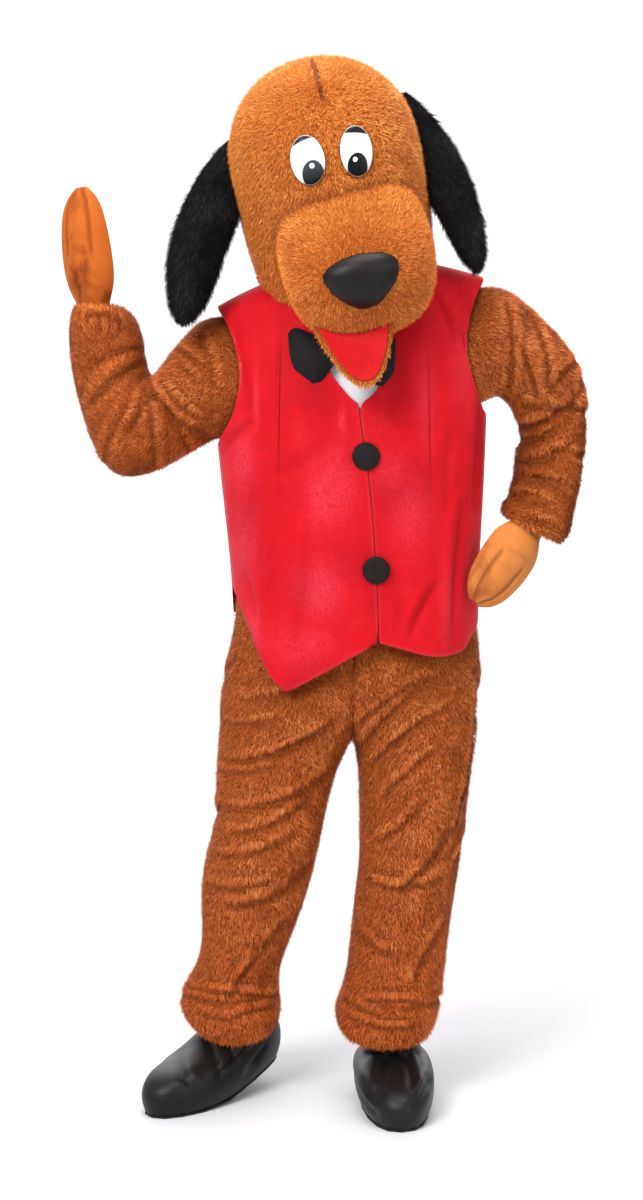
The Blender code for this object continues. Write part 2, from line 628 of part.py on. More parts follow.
def build_shirt_front():
    """A white panel tacked over the suit's chest, so that it fills the waistcoat's V."""
    heights = np.linspace(SHIRT_LOW, SHIRT_HIGH, 9)[:, None] + np.zeros((1, 9))
    reach = SHIRT_HALF * np.linspace(1.0, 0.72, 9)[:, None]
    x = np.linspace(-1, 1, 9)[None, :] * reach
    sunk = ease((heights - 1.36) / (1.484 - 1.36)) * 0.026 * np.cos(x / SHIRT_HALF * SIDE * 0.8)
    angles = angle_of(x - BODY.at("middle", heights), BODY.at("half_width", heights - sunk))
    base = on_body(BODY, angles, heights - sunk)
    out = normals(base)
    wall("shirt_front", base + out * SHIRT_OFF, base + out * (SHIRT_OFF - SATIN), ("white_satin", WHITE, 0.5))


BUTTON_RADIUS = 0.0245
BUTTON_THICK = 0.010
BUTTONS = Table("height number", (0.974, 2), (1.167, 1))


def dome_rings(radius, thick, count, profile):
    """Rings of a domed disc along +Z, from its flat back to its crown."""
    turn = np.linspace(0, 2 * math.pi, count, endpoint=False)
    rings = []
    for share, rise in profile:
        ring = np.stack([np.cos(turn) * radius * share, np.sin(turn) * radius * share, turn * 0 + thick * rise], axis=-1)
        rings.append(ring)
    return np.array(rings)


def turned(points, along):
    """Points modelled along +Z, turned to point along a direction."""
    spin = Vector((0, 0, 1)).rotation_difference(Vector(along)).to_matrix()
    return points @ np.array(spin).T


def build_buttons():
    for height, number in BUTTONS.rows:
        x = CLOSURE.straight("right", height)
        y = vest_front_y(x, height)
        slope = (vest_front_y(x, height + 0.02) - vest_front_y(x, height - 0.02)) / 0.04
        side = (vest_front_y(x + 0.02, height) - vest_front_y(x - 0.02, height)) / 0.04
        out = np.array((side, -1, slope))
        out /= np.linalg.norm(out)
        rings = dome_rings(BUTTON_RADIUS, BUTTON_THICK, 20, ((0.97, 0), (1, 0.25), (0.94, 0.62), (0.7, 0.9), (0.3, 1)))
        at = np.array((x, y, tilted(x, height))) + out * SEAM * 1.6
        filled(f"button_{int(number)}", turned(rings, out) + at, ("black_felt", BLACK, 0.9))


BOW_X, BOW_HEIGHT = -0.016, 1.343
BOW_TURN = math.radians(-6)
WING = Table(
    "out high low thick",
    (0.012, 0.015, 0.017, 0.010),
    (0.030, 0.026, 0.034, 0.015),
    (0.052, 0.036, 0.048, 0.018),
    (0.072, 0.040, 0.050, 0.016),
    (0.084, 0.038, 0.036, 0.011),
    (0.091, 0.032, 0.020, 0.007),
)


def build_bow():
    """Two wings and a knot, lying on the waistcoat's fronts just under the chin."""
    for name, side in (("bow_wing_right", -1), ("bow_wing_left", 1)):
        rings = []
        for out, high, low, thick in WING.rows:
            turn = np.linspace(0, 2 * math.pi, 12, endpoint=False)
            level = np.where(np.cos(turn) > 0, high, low) * np.cos(turn)
            lift = np.maximum(np.sin(turn), 0) * thick
            x = BOW_X + side * out * math.cos(BOW_TURN) - level * math.sin(BOW_TURN) * side * 0.4
            z = BOW_HEIGHT + level + out * math.sin(BOW_TURN)
            y = vest_front_y(x, z) - SEAM * 2.5 - lift
            rings.append(np.stack([x, y, z], axis=-1))
        filled(name, np.array(rings), ("black_cloth", BLACK, 0.7))
    knot = dome_rings(0.012, 0.026, 12, ((1, 0), (1.06, 0.5), (1, 0.8), (0.6, 1)))
    knot[..., 1] *= 1.5
    y = min(vest_front_y(BOW_X - 0.012, BOW_HEIGHT), vest_front_y(BOW_X + 0.012, BOW_HEIGHT + 0.03))
    at = np.array((BOW_X, y - SEAM * 2.5, BOW_HEIGHT))
    filled("bow_knot", turned(knot, (0, -1, 0)) * (0.95, 1, 1) + at, ("black_cloth", BLACK, 0.7))


# The head, in its own frame: the neck hole's middle is the origin, and it looks along -Y

HEAD_AT = np.array((-0.008, -0.016, 1.502))
HEAD_PITCH, HEAD_YAW, HEAD_ROLL = 20, 3, -13
HEAD = Table(
    "height half_width front back",
    (-0.070, 0.136, 0.120, 0.114),
    (-0.030, 0.149, 0.141, 0.131),
    (0.020, 0.158, 0.156, 0.147),
    (0.070, 0.162, 0.165, 0.158),
    (0.130, 0.164, 0.170, 0.167),
    (0.185, 0.164, 0.169, 0.170),
    (0.235, 0.158, 0.161, 0.166),
    (0.280, 0.143, 0.144, 0.151),
    (0.312, 0.118, 0.119, 0.127),
    (0.335, 0.089, 0.090, 0.096),
    (0.350, 0.056, 0.056, 0.061),
    (0.357, 0.023, 0.023, 0.026),
)
HEAD_COLUMNS = 12
HEAD_ROWS = 13
SIDE_DROP, CHIN_DROP, NAPE_DROP = 0.046, 0.014, 0.040
HEAD_POWER = 2.15


def head_turn():
    pitch = Matrix.Rotation(math.radians(HEAD_PITCH), 3, "X")
    yaw = Matrix.Rotation(math.radians(HEAD_YAW), 3, "Z")
    roll = Matrix.Rotation(math.radians(HEAD_ROLL), 3, "Y")
    return np.array(roll @ yaw @ pitch)


HEAD_TURN = head_turn()


def headed(points):
    """Points in the head's frame, put where the head is worn."""
    return np.asarray(points) @ HEAD_TURN.T + HEAD_AT


def rim_height(angle):
    """The neck hole's edge, which comes down under the chin and a little at the nape."""
    c = np.cos(angle)
    return -SIDE_DROP - CHIN_DROP * np.maximum(c, 0) ** 1.5 - NAPE_DROP * np.maximum(-c, 0) ** 1.5


def on_head(angle, height):
    sizes = (HEAD.at(name, height) for name in ("half_width", "front", "back"))
    x, y = oval(angle, *sizes, power=HEAD_POWER)
    return np.stack(np.broadcast_arrays(x, y, height), axis=-1)


def head_grid(angles):
    """A panel of the head from the neck hole to the crown. The rows close up towards the top, where it turns over."""
    rise = np.linspace(0, 1, HEAD_ROWS)[:, None]
    rise = np.sin(rise * SIDE * 0.995) ** 1.08
    rim = rim_height(angles)[None, :]
    heights = rim + (HEAD.keys()[-1] - rim) * rise
    return on_head(angles[None, :] + np.zeros_like(heights), heights)


def build_head_shell(shoulders):
    """The face and the back of the head, sewn together down the sides, where the ears are set in. Both rest on the
    shoulders."""
    gap = math.radians(0.06)
    for name, low, high in (("head_face", -SIDE + gap, SIDE - gap), ("head_back", SIDE + gap, 3 * SIDE - gap)):
        angles = np.linspace(low, high, HEAD_COLUMNS + 1)
        grid = head_grid(angles)
        side = -1 if name == "head_face" else 1
        crown = np.array((0.0, side * SEAM * 1.2, HEAD.keys()[-1] + 0.002))
        grid = np.concatenate([grid, np.broadcast_to(crown, grid[:1].shape)])
        out = normals(grid)
        out[-1] = (0, 0, 1)
        for column in (0, -1):
            kept_in_plane(out, list(range(len(grid) - 1)), column, 1)
        inner = grid - out * HEAD_WALL
        inner[-2, :, 2] = inner[-2, :, 2].mean()
        inner[-2, :, 1] = side * np.maximum(side * inner[-2, :, 1], SEAM)
        inner[-1] = crown - np.array((0, 0, HEAD_WALL + 0.001))
        cut_by(wall(name, headed(grid), headed(inner), FUR_FINISH), shoulders)


def shoulder_guide():
    """The waistcoat's closed outer form, a little larger: what lies on it is cut by this. It isn't a piece."""
    angles = np.linspace(0, 4 * SIDE, 28, endpoint=False)
    heights = np.concatenate([np.linspace(1.10, 1.40, 7), np.linspace(1.42, VEST.keys()[-1], 8)])
    rings = np.array([on_body(VEST, angles, np.full_like(angles, h)) for h in heights])
    spoke = rings - rings.mean(axis=1, keepdims=True)
    rings += spoke / np.linalg.norm(spoke, axis=2, keepdims=True) * SEAM * 3
    rings[..., 2] += SEAM * 3
    return guide(filled("shoulder_guide", rings, VELOUR_FINISH))


def head_guide():
    """The head's closed outer form, a seam's width larger. It cuts what is sewn onto the head, and isn't a piece."""
    angles = np.linspace(0, 4 * SIDE, 2 * HEAD_COLUMNS, endpoint=False)
    heights = np.linspace(-0.07, HEAD.keys()[-1], 18)
    grown = 1 + SEAM * 3 / 0.16
    rings = np.array([on_head(angles, np.full_like(angles, h)) for h in heights]) * (grown, grown, 1)
    rings[-1, :, 2] += 0.003
    return guide(filled("head_guide", headed(rings), FUR_FINISH))


def guide(piece):
    piece.hide_render = True
    piece.display_type = "WIRE"
    return piece


def cut_by(piece, *cutters):
    for cutter in cutters:
        cut = piece.modifiers.new("seat", "BOOLEAN")
        cut.operation = "DIFFERENCE"
        cut.solver = "EXACT"
        cut.object = cutter
    return piece


# The muzzle's axis starts inside the face and points forward and down
MUZZLE_ROOT = np.array((0.008, -0.070, 0.088))
MUZZLE_FALL = math.radians(21)
MUZZLE = Table(
    "out half_width up down",
    (0.000, 0.124, 0.102, 0.116),
    (0.060, 0.128, 0.108, 0.126),
    (0.108, 0.129, 0.102, 0.132),
    (0.145, 0.124, 0.088, 0.129),
    (0.174, 0.110, 0.067, 0.115),
    (0.192, 0.086, 0.045, 0.090),
    (0.203, 0.054, 0.024, 0.056),
    (0.207, 0.022, 0.009, 0.022),
)
MUZZLE_POINTS = 20


def muzzle_frame():
    """(forward, up) of the muzzle in the head's frame."""
    forward = np.array((0, -math.cos(MUZZLE_FALL), -math.sin(MUZZLE_FALL)))
    up = np.array((0, -math.sin(MUZZLE_FALL), math.cos(MUZZLE_FALL)))
    return forward, up


def muzzle_rings(grown=0.0, count=MUZZLE_POINTS):
    forward, up = muzzle_frame()
    turn = np.linspace(0, 2 * math.pi, count, endpoint=False)
    rings = []
    for out, half_width, high, low in MUZZLE.rows:
        s, c = np.sin(turn), np.cos(turn)
        power = 2 / 2.6
        wide = (half_width + grown) * np.sign(s) * np.abs(s) ** power
        tall = np.where(c > 0, high + grown, low + grown) * np.sign(c) * np.abs(c) ** power
        ring = MUZZLE_ROOT + forward * (out + (grown if out > 0.2 else 0)) + tall[:, None] * up
        ring[:, 0] += wide
        rings.append(ring)
    return headed(np.array(rings))


def build_muzzle(head, shoulders):
    return cut_by(filled("muzzle", muzzle_rings(), FUR_FINISH), head, shoulders)


NOSE = Table(
    "out scale",
    (-0.040, 0.90),
    (0.000, 1.00),
    (0.016, 0.98),
    (0.030, 0.84),
    (0.040, 0.58),
    (0.044, 0.24),
)
NOSE_HALF_WIDTH, NOSE_UP, NOSE_DOWN = 0.070, 0.038, 0.060
NOSE_ACROSS, NOSE_OUT, NOSE_RISE = -0.006, 0.172, 0.026
NOSE_LOOK_UP = math.radians(22)


def nose_rings(count=20):
    """A rounded triangle, broad at the top, that bulges out of the muzzle's top front."""
    forward, up = muzzle_frame()
    look = forward * math.cos(NOSE_LOOK_UP) + up * math.sin(NOSE_LOOK_UP)
    rise = up * math.cos(NOSE_LOOK_UP) - forward * math.sin(NOSE_LOOK_UP)
    middle = MUZZLE_ROOT + forward * NOSE_OUT + up * NOSE_RISE + np.array((NOSE_ACROSS, 0, 0))
    turn = np.linspace(0, 2 * math.pi, count, endpoint=False)
    s, c = np.sin(turn), np.cos(turn)
    wide = NOSE_HALF_WIDTH * np.sign(s) * np.abs(s) ** 0.92 * (1 - 0.34 * ease((0.1 - c) / 1.1))
    tall = np.where(c > 0, NOSE_UP, NOSE_DOWN) * np.sign(c) * np.abs(c) ** 0.85
    rings = []
    for out, scale in NOSE.rows:
        ring = middle + look * out + (tall * scale)[:, None] * rise
        ring[:, 0] += wide * scale
        rings.append(ring)
    return headed(np.array(rings))


def build_nose(muzzle_cutter):
    return cut_by(filled("nose", nose_rings(), ("black_cloth", BLACK, 0.7)), muzzle_cutter)


# The open lower jaw, hanging down: its face is the mouth's lining
JAW_TOP = np.array((-0.012, -0.186, 1.452))
JAW_TIP = np.array((0.022, -0.238, 1.290))
JAW = Table(
    "share half_width dish",
    (0.00, 0.080, 0.000),
    (0.20, 0.075, 0.004),
    (0.40, 0.067, 0.008),
    (0.60, 0.058, 0.010),
    (0.76, 0.046, 0.008),
    (0.88, 0.034, 0.005),
    (0.96, 0.020, 0.002),
    (1.00, 0.008, 0.000),
)
JAW_THICK, LINING_THICK, FUR_EDGE = 0.012, 0.003, 0.006


def jaw_grid(narrower, forward):
    """Rows from the root to the tip, across the jaw's dished front face, moved forward of it."""
    down = JAW_TIP - JAW_TOP
    look = np.cross(down, np.array((1.0, 0, 0)))
    look = look / np.linalg.norm(look)
    across = np.linspace(-1, 1, 7)
    rows = []
    for share, half_width, dish in JAW.rows:
        half = max(half_width - narrower, 0.003)
        at = JAW_TOP + down * (share - narrower / np.linalg.norm(down) * (share > 0.99))
        edge = across**2 * dish
        row = at + look * (forward + edge[:, None])
        row[:, 0] += across * half
        rows.append(row)
    return np.array(rows)


def build_jaw(*cutters):
    fur = wall("jaw", jaw_grid(0, -LINING_THICK - SEAM), jaw_grid(0, -LINING_THICK - JAW_THICK), FUR_FINISH)
    felt = wall("mouth_lining", jaw_grid(FUR_EDGE, 0), jaw_grid(FUR_EDGE, -LINING_THICK), ("red_felt", RED, 0.9))
    cut_by(fur, *cutters)
    cut_by(felt, *cutters)


EAR_RIGHT = Table(
    "step outer_x outer_z inner_x inner_z y half_depth",
    (0, -0.196, 1.722, -0.184, 1.722, -0.055, 0.006),
    (1, -0.216, 1.706, -0.166, 1.690, -0.060, 0.013),
    (2, -0.244, 1.676, -0.158, 1.650, -0.068, 0.019),
    (3, -0.270, 1.636, -0.176, 1.606, -0.078, 0.023),
    (4, -0.292, 1.592, -0.192, 1.572, -0.086, 0.025),
    (5, -0.309, 1.540, -0.208, 1.532, -0.092, 0.026),
    (6, -0.317, 1.486, -0.222, 1.488, -0.096, 0.026),
    (7, -0.314, 1.440, -0.238, 1.446, -0.098, 0.023),
    (8, -0.304, 1.410, -0.254, 1.416, -0.098, 0.018),
    (9, -0.290, 1.398, -0.270, 1.400, -0.098, 0.010),
)
EAR_LEFT = Table(
    "step outer_x outer_z inner_x inner_z y half_depth",
    (0, 0.096, 1.792, 0.074, 1.786, -0.055, 0.006),
    (1, 0.130, 1.762, 0.072, 1.744, -0.060, 0.013),
    (2, 0.160, 1.724, 0.080, 1.698, -0.068, 0.018),
    (3, 0.186, 1.685, 0.100, 1.652, -0.076, 0.021),
    (4, 0.205, 1.642, 0.126, 1.612, -0.084, 0.023),
    (5, 0.218, 1.600, 0.150, 1.578, -0.090, 0.023),
    (6, 0.227, 1.556, 0.166, 1.546, -0.094, 0.022),
    (7, 0.230, 1.520, 0.182, 1.514, -0.096, 0.019),
    (8, 0.226, 1.497, 0.198, 1.496, -0.096, 0.014),
    (9, 0.216, 1.488, 0.208, 1.487, -0.096, 0.008),
)


def build_ear(name, rows, head):
    """A stuffed hanging ear. The part that lies in the head is cut away, so its root follows the side seam."""
    rings = []
    for _, outer_x, outer_z, inner_x, inner_z, y, half_depth in rows.rows:
        rings.append(ring_between((outer_x, outer_z), (inner_x, inner_z), y, half_depth, half_depth, 14))
    return cut_by(filled(name, np.array(rings), ("black_fur", BLACK, 0.85)), head)


EYES = Table(
    "side x height half_width half_height turn",
    (-1, -0.0410, 0.2310, 0.0285, 0.0405, -6),
    (1, 0.0405, 0.2280, 0.0280, 0.0410, -6),
)
VINYL = 0.0016


def seen_from_front(guide_piece):
    return BVHTree.FromObject(guide_piece, bpy.context.evaluated_depsgraph_get())


def disc_on(name, tree, outline, low, high, finish):
    """A thin disc that lies on the head's front. outline gives points (x, height) in the head's frame, from rim to
    middle, and low and high how far its two faces are from the head."""
    look = np.array((0.0, -1.0, 0.0)) @ HEAD_TURN.T
    faces = []
    for off in (low, high):
        rings = []
        for ring in outline:
            start = headed(np.stack([ring[:, 0], np.full(len(ring), -0.5), ring[:, 1]], axis=-1)) - HELD_AT
            hits = [tree.ray_cast(Vector(p), Vector(-look))[0] for p in start]
            rings.append(np.array(hits) + look * off + HELD_AT)
        faces.append(np.array(rings))
    back, front = faces
    rings = np.concatenate([back[:1] * 1.0, front[:1], front[1:]])
    rings = np.concatenate([back[::-1], rings[1:]])
    return filled(name, rings, finish)


def oval_outline(x, height, half_width, half_height, turn, shares, count=20):
    """Rings of an oval in the head's (x, height), from its rim inwards."""
    a = np.linspace(0, 2 * math.pi, count, endpoint=False)
    wide, tall = half_width * np.cos(a), half_height * np.sin(a)
    c, s = math.cos(math.radians(turn)), math.sin(math.radians(turn))
    return [np.stack([x + (wide * c - tall * s) * k, height + (wide * s + tall * c) * k], axis=-1) for k in shares]


def build_eyes(head):
    """One printed vinyl disc for each eye: its pupil, glint, lid and rim are colour, so they aren't raised."""
    tree = seen_from_front(head)
    for side, x, height, half_width, half_height, turn in EYES.rows:
        where = "right" if side < 0 else "left"
        outline = oval_outline(x, height, half_width, half_height, turn, (1, 0.62, 0.15))
        disc_on(f"eye_{where}", tree, outline, SEAM * 3, SEAM * 3 + VINYL, ("white_vinyl", WHITE, 0.3))


# The mitts: a wadded back with three finger rolls, open at the palm, where an elastic strap crosses

MITT = Table(
    "share half_width crown",
    (0.00, 0.028, 0.019),
    (0.10, 0.032, 0.022),
    (0.17, 0.041, 0.028),
    (0.28, 0.049, 0.032),
    (0.40, 0.051, 0.034),
    (0.54, 0.050, 0.033),
    (0.68, 0.047, 0.031),
    (0.80, 0.042, 0.028),
    (0.89, 0.034, 0.023),
    (0.955, 0.023, 0.016),
    (1.00, 0.010, 0.008),
)
MITT_COLUMNS = 16
MITT_ARC = math.radians(78)
GROOVE_DEPTH = 0.0045
STRAP_AT, STRAP_WIDE, STRAP_THICK = 0.30, 0.030, 0.0016


def build_mitt(where, wrist, tip, back_of_hand):
    """A mitt from its wrist to its finger tips. back_of_hand is the way its padded back faces."""
    reach = tip - wrist
    length = np.linalg.norm(reach)
    along = reach / length
    out = back_of_hand - along * back_of_hand.dot(along)
    out = out / np.linalg.norm(out)
    across = np.cross(along, out)
    u = np.linspace(-1, 1, MITT_COLUMNS + 1)
    low = math.cos(MITT_ARC)
    outer, inner = [], []
    for share, half_width, crown in MITT.rows:
        bend = np.sin(u * MITT_ARC) / math.sin(MITT_ARC)
        lift = (np.cos(u * MITT_ARC) - low) / (1 - low)
        fingers = ease((share - 0.46) / 0.1) * (1 - ease((share - 0.93) / 0.06))
        groove = GROOVE_DEPTH * fingers * np.exp(-(((np.abs(u) - 0.375) / 0.07) ** 2))
        droop = -0.012 * share**4
        wide, high = half_width * bend, crown * lift - groove + droop
        spot = wrist + along * (share * length)
        outer.append(spot + across * wide[:, None] + out * high[:, None])
        thin = min(PADDING, half_width * 0.45)
        wide_in, high_in = (half_width - thin) * bend, (crown - thin * 0.9) * lift + droop
        spot_in = wrist + along * (min(share, 0.965) * length)
        inner.append(spot_in + across * wide_in[:, None] + out * high_in[:, None])
    wall(f"mitt_{where}", np.array(outer), np.array(inner), ("tan_velour", TAN, 0.7))
    build_strap(where, wrist, along, across, out, length)
    return along, across, out


def build_strap(where, wrist, along, across, out, length):
    """The elastic runs from one edge of the mitt's wall, across the open palm, to the other."""
    half = MITT.at("half_width", STRAP_AT) - PADDING * 0.5
    steps = np.linspace(-1, 1, 13)
    path_wide = half * steps
    path_high = -SEAM * 2 - STRAP_THICK - 0.026 * (1 - np.abs(steps) ** 2.6)
    grid = []
    for off in (-0.5, 0.5):
        spot = wrist + along * (STRAP_AT * length + off * STRAP_WIDE)
        grid.append(spot + across * path_wide[:, None] + out * path_high[:, None])
    grid = np.array(grid)
    wall(f"mitt_strap_{where}", grid, grid + out * STRAP_THICK, ("white_elastic", WHITE, 0.8))


# The shoe covers: cloth uppers gathered round the ankle over a flat sole

SHOE = Table(
    "height toe heel half_width",
    (0.0036, 0.206, 0.104, 0.060),
    (0.0220, 0.216, 0.111, 0.069),
    (0.0480, 0.212, 0.112, 0.072),
    (0.0680, 0.188, 0.107, 0.072),
    (0.0780, 0.146, 0.096, 0.066),
    (0.0850, 0.092, 0.078, 0.058),
    (0.0900, 0.060, 0.058, 0.052),
    (0.1120, 0.050, 0.056, 0.052),
    (0.1400, 0.048, 0.055, 0.051),
)
SHOE_POINTS = 20
SOLE_THICK = 0.003
FEET = Table(
    "side ankle_x ankle_y turn lift length",
    (-1, -0.2155, 0.076, -38, 0.0452, 1.07),
    (1, 0.0776, 0.034, 3, 0.0, 1.04),
)
BALL, HEEL = 0.12, -0.08


def shoe_ring(height, toe, heel, half_width, length):
    """(forward, across) round a shoe's section: broad across the toes and narrower at the heel."""
    turn = np.linspace(0, 2 * math.pi, SHOE_POINTS, endpoint=False)
    c, s = np.cos(turn), np.sin(turn)
    forward = np.where(c > 0, toe * length, heel) * np.sign(c) * np.abs(c) ** 0.9
    broad = 1 + 0.10 * np.clip(forward / 0.2, -1, 1)
    return forward, half_width * broad * np.sign(s) * np.abs(s) ** 0.85


def build_shoe(side, ankle_x, ankle_y, turn, lift, length):
    where = "right" if side < 0 else "left"
    a = math.radians(turn)
    ahead, left = np.array((math.sin(a), -math.cos(a))), np.array((math.cos(a), math.sin(a)))

    def ring(height, toe, heel, half_width):
        forward, across = shoe_ring(height, toe, heel, half_width, length)
        flat = np.array((ankle_x, ankle_y)) + forward[:, None] * ahead + across[:, None] * left
        raised = height + lift * ease((BALL - forward) / (BALL - HEEL))
        return np.concatenate([flat, raised[:, None]], axis=1)

    finish = ("black_cloth", BLACK, 0.7)
    outer = np.array([ring(*row) for row in SHOE.rows])
    inner = np.array([ring(row[0], *(row[1:] - SHOE_CLOTH)) for row in SHOE.rows])
    wall(f"shoe_upper_{where}", outer, inner, finish, around=True)
    half = SHOE_POINTS // 2 + 1
    sides = [ring(height, *SHOE.rows[0][1:]) for height in (SOLE_THICK, 0.0)]
    top, bottom = (np.stack([side[:half], np.roll(side[::-1], 1, axis=0)[:half]], axis=1) for side in sides)
    wall(f"shoe_sole_{where}", top, bottom, finish)


def main():
    for old in list(bpy.data.objects):
        bpy.data.objects.remove(old)
    armholes = build_torso()
    build_sleeve("sleeve_right", -1, armholes[-1], SLEEVE_RIGHT, SLEEVE_RIGHT_FOLDS)
    build_sleeve("sleeve_left", 1, armholes[1], SLEEVE_LEFT, SLEEVE_LEFT_FOLDS)
    build_leg("leg_right", -1, LEG_RIGHT, LEG_RIGHT_FOLDS)
    build_leg("leg_left", 1, LEG_LEFT, LEG_LEFT_FOLDS)
    build_vest_front("waistcoat_front_right", -1, HEM_RIGHT, VEST_FOLDS_RIGHT)
    build_vest_front("waistcoat_front_left", 1, HEM_LEFT, VEST_FOLDS_LEFT)
    build_vest_back()
    build_shirt_front()
    build_buttons()
    build_bow()
    head, shoulders = head_guide(), shoulder_guide()
    build_head_shell(shoulders)
    build_muzzle(head, shoulders)
    muzzle_cutter = guide(filled("muzzle_guide", muzzle_rings(SEAM * 3), FUR_FINISH))
    build_nose(muzzle_cutter)
    build_jaw(head, muzzle_cutter, shoulders)
    build_ear("ear_right", EAR_RIGHT, head)
    build_ear("ear_left", EAR_LEFT, head)
    build_eyes(head)
    build_mitt("right", np.array((-0.4472, 0.008, 1.410)), np.array((-0.4762, -0.006, 1.634)), np.array((-0.45, -0.89, 0)))
    build_mitt("left", np.array((0.318, -0.028, 1.0458)), np.array((0.218, -0.112, 0.9158)), np.array((0.35, -0.94, 0.1)))
    for row in FEET.rows:
        build_shoe(*row)


main()
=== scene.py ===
"""A dog costume as it is worn: a fur suit, a velour waistcoat, a padded head, two mitts and two shoe covers.

The wearer's front faces -Y and their left is +X. Sizes are in metres, from the middle of the shoulders.
"""

import json
import math

import bmesh
import bpy
import numpy as np
from mathutils import Matrix, Vector, noise
from mathutils.bvhtree import BVHTree
from mathutils.kdtree import KDTree

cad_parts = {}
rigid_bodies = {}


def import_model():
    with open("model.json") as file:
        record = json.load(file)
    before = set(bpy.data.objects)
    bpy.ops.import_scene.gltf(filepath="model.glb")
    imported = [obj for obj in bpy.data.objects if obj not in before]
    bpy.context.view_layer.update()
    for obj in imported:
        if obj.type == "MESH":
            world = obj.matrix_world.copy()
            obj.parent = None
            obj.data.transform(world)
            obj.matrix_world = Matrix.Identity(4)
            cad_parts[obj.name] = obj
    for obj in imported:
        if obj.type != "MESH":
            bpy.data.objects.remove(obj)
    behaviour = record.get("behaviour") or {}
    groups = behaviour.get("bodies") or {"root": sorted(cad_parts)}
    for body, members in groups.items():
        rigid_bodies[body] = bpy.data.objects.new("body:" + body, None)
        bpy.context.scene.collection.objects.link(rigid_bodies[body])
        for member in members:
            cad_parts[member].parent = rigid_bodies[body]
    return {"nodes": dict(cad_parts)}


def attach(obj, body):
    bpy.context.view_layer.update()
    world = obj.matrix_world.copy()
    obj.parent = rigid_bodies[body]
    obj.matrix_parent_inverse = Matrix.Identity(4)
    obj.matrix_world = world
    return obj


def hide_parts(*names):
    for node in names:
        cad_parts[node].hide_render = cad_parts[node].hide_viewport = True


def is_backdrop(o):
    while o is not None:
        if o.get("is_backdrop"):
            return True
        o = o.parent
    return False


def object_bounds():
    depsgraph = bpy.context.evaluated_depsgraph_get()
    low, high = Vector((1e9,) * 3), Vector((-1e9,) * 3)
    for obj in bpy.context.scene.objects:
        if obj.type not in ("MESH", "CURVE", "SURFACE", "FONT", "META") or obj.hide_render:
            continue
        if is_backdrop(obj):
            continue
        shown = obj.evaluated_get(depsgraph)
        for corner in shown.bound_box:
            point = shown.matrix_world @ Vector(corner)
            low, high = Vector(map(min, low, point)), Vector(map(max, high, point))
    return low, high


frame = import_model()
cad_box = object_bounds()

# The room
# A pale floor that curves up into a white wall, a large soft lamp at the front left and weaker ones at the
# right, above and behind. The camera is four metres in front, tipped down a little.

FLOOR_Z = -1.46
FLOOR_SIZE, FLOOR_MIDDLE = 14, 2.0
WALL_HEIGHT, COVE_RADIUS = 7, 1.5
GLOW_FROM, GLOW_TO = -1.0, 3.0
CAMERA_AT = (-0.0584, -4.0, -0.21)
CAMERA_DOWN = math.radians(4.86)
ROOM_LIGHT = 0.69
WALL_GLOW = 0.6

bpy.ops.object.select_all(action="DESELECT")
for old in [o for o in bpy.data.objects if o.type in ("LIGHT", "CAMERA")] + [
    o for o in bpy.data.objects if o.name == "Cube"
]:
    bpy.data.objects.remove(old)

bpy.ops.object.camera_add(location=CAMERA_AT, rotation=(math.pi / 2 - CAMERA_DOWN, 0, 0))
camera = bpy.context.object
camera.data.lens = 67.8
camera.data.sensor_width = 36
bpy.context.scene.camera = camera
bpy.context.scene.view_settings.view_transform = "Standard"

bpy.ops.mesh.primitive_plane_add(size=FLOOR_SIZE, location=(0, FLOOR_MIDDLE, FLOOR_Z - 0.0005))
floor = bpy.context.object
floor.name = "floor"
bpy.ops.object.mode_set(mode="EDIT")
bpy.ops.mesh.select_all(action="DESELECT")
bpy.ops.object.mode_set(mode="OBJECT")
for edge in floor.data.edges:
    edge.select = all(floor.data.vertices[v].co.y > 0.49 * FLOOR_SIZE for v in edge.vertices)
bpy.ops.object.mode_set(mode="EDIT")
bpy.ops.mesh.select_mode(type="EDGE")
bpy.ops.mesh.extrude_region_move(TRANSFORM_OT_translate={"value": (0, 0, WALL_HEIGHT)})
bpy.ops.object.mode_set(mode="OBJECT")
bend = floor.modifiers.new("cove", "BEVEL")
bend.width = COVE_RADIUS
bend.segments = 12
bpy.ops.object.modifier_apply(modifier="cove")
bpy.ops.object.shade_smooth()
floor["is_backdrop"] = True

paint = bpy.data.materials.new("studio_floor")
paint.use_nodes = True
paint_shader = paint.node_tree.nodes["Principled BSDF"]
paint_shader.inputs["Base Color"].default_value = (0.7, 0.695, 0.715, 1)
paint_shader.inputs["Roughness"].default_value = 0.8
paint_shader.inputs["Specular IOR Level"].default_value = 0.1
paint_shader.inputs["Emission Color"].default_value = (1, 1, 1, 1)
paint_place = paint.node_tree.nodes.new("ShaderNodeTexCoord")
paint_depth = paint.node_tree.nodes.new("ShaderNodeSeparateXYZ")
paint_glow = paint.node_tree.nodes.new("ShaderNodeMapRange")
paint_glow.inputs["From Min"].default_value = GLOW_FROM
paint_glow.inputs["From Max"].default_value = GLOW_TO
paint_glow.inputs["To Max"].default_value = WALL_GLOW
paint.node_tree.links.new(paint_place.outputs["Object"], paint_depth.inputs["Vector"])
paint.node_tree.links.new(paint_depth.outputs["Y"], paint_glow.inputs["Value"])
paint.node_tree.links.new(paint_glow.outputs["Result"], paint_shader.inputs["Emission Strength"])
floor.data.materials.append(paint)

world = bpy.context.scene.world or bpy.data.worlds.new("World")
bpy.context.scene.world = world
world.use_nodes = True
world.node_tree.nodes["Background"].inputs["Color"].default_value = (1, 1, 1, 1)
world.node_tree.nodes["Background"].inputs["Strength"].default_value = ROOM_LIGHT

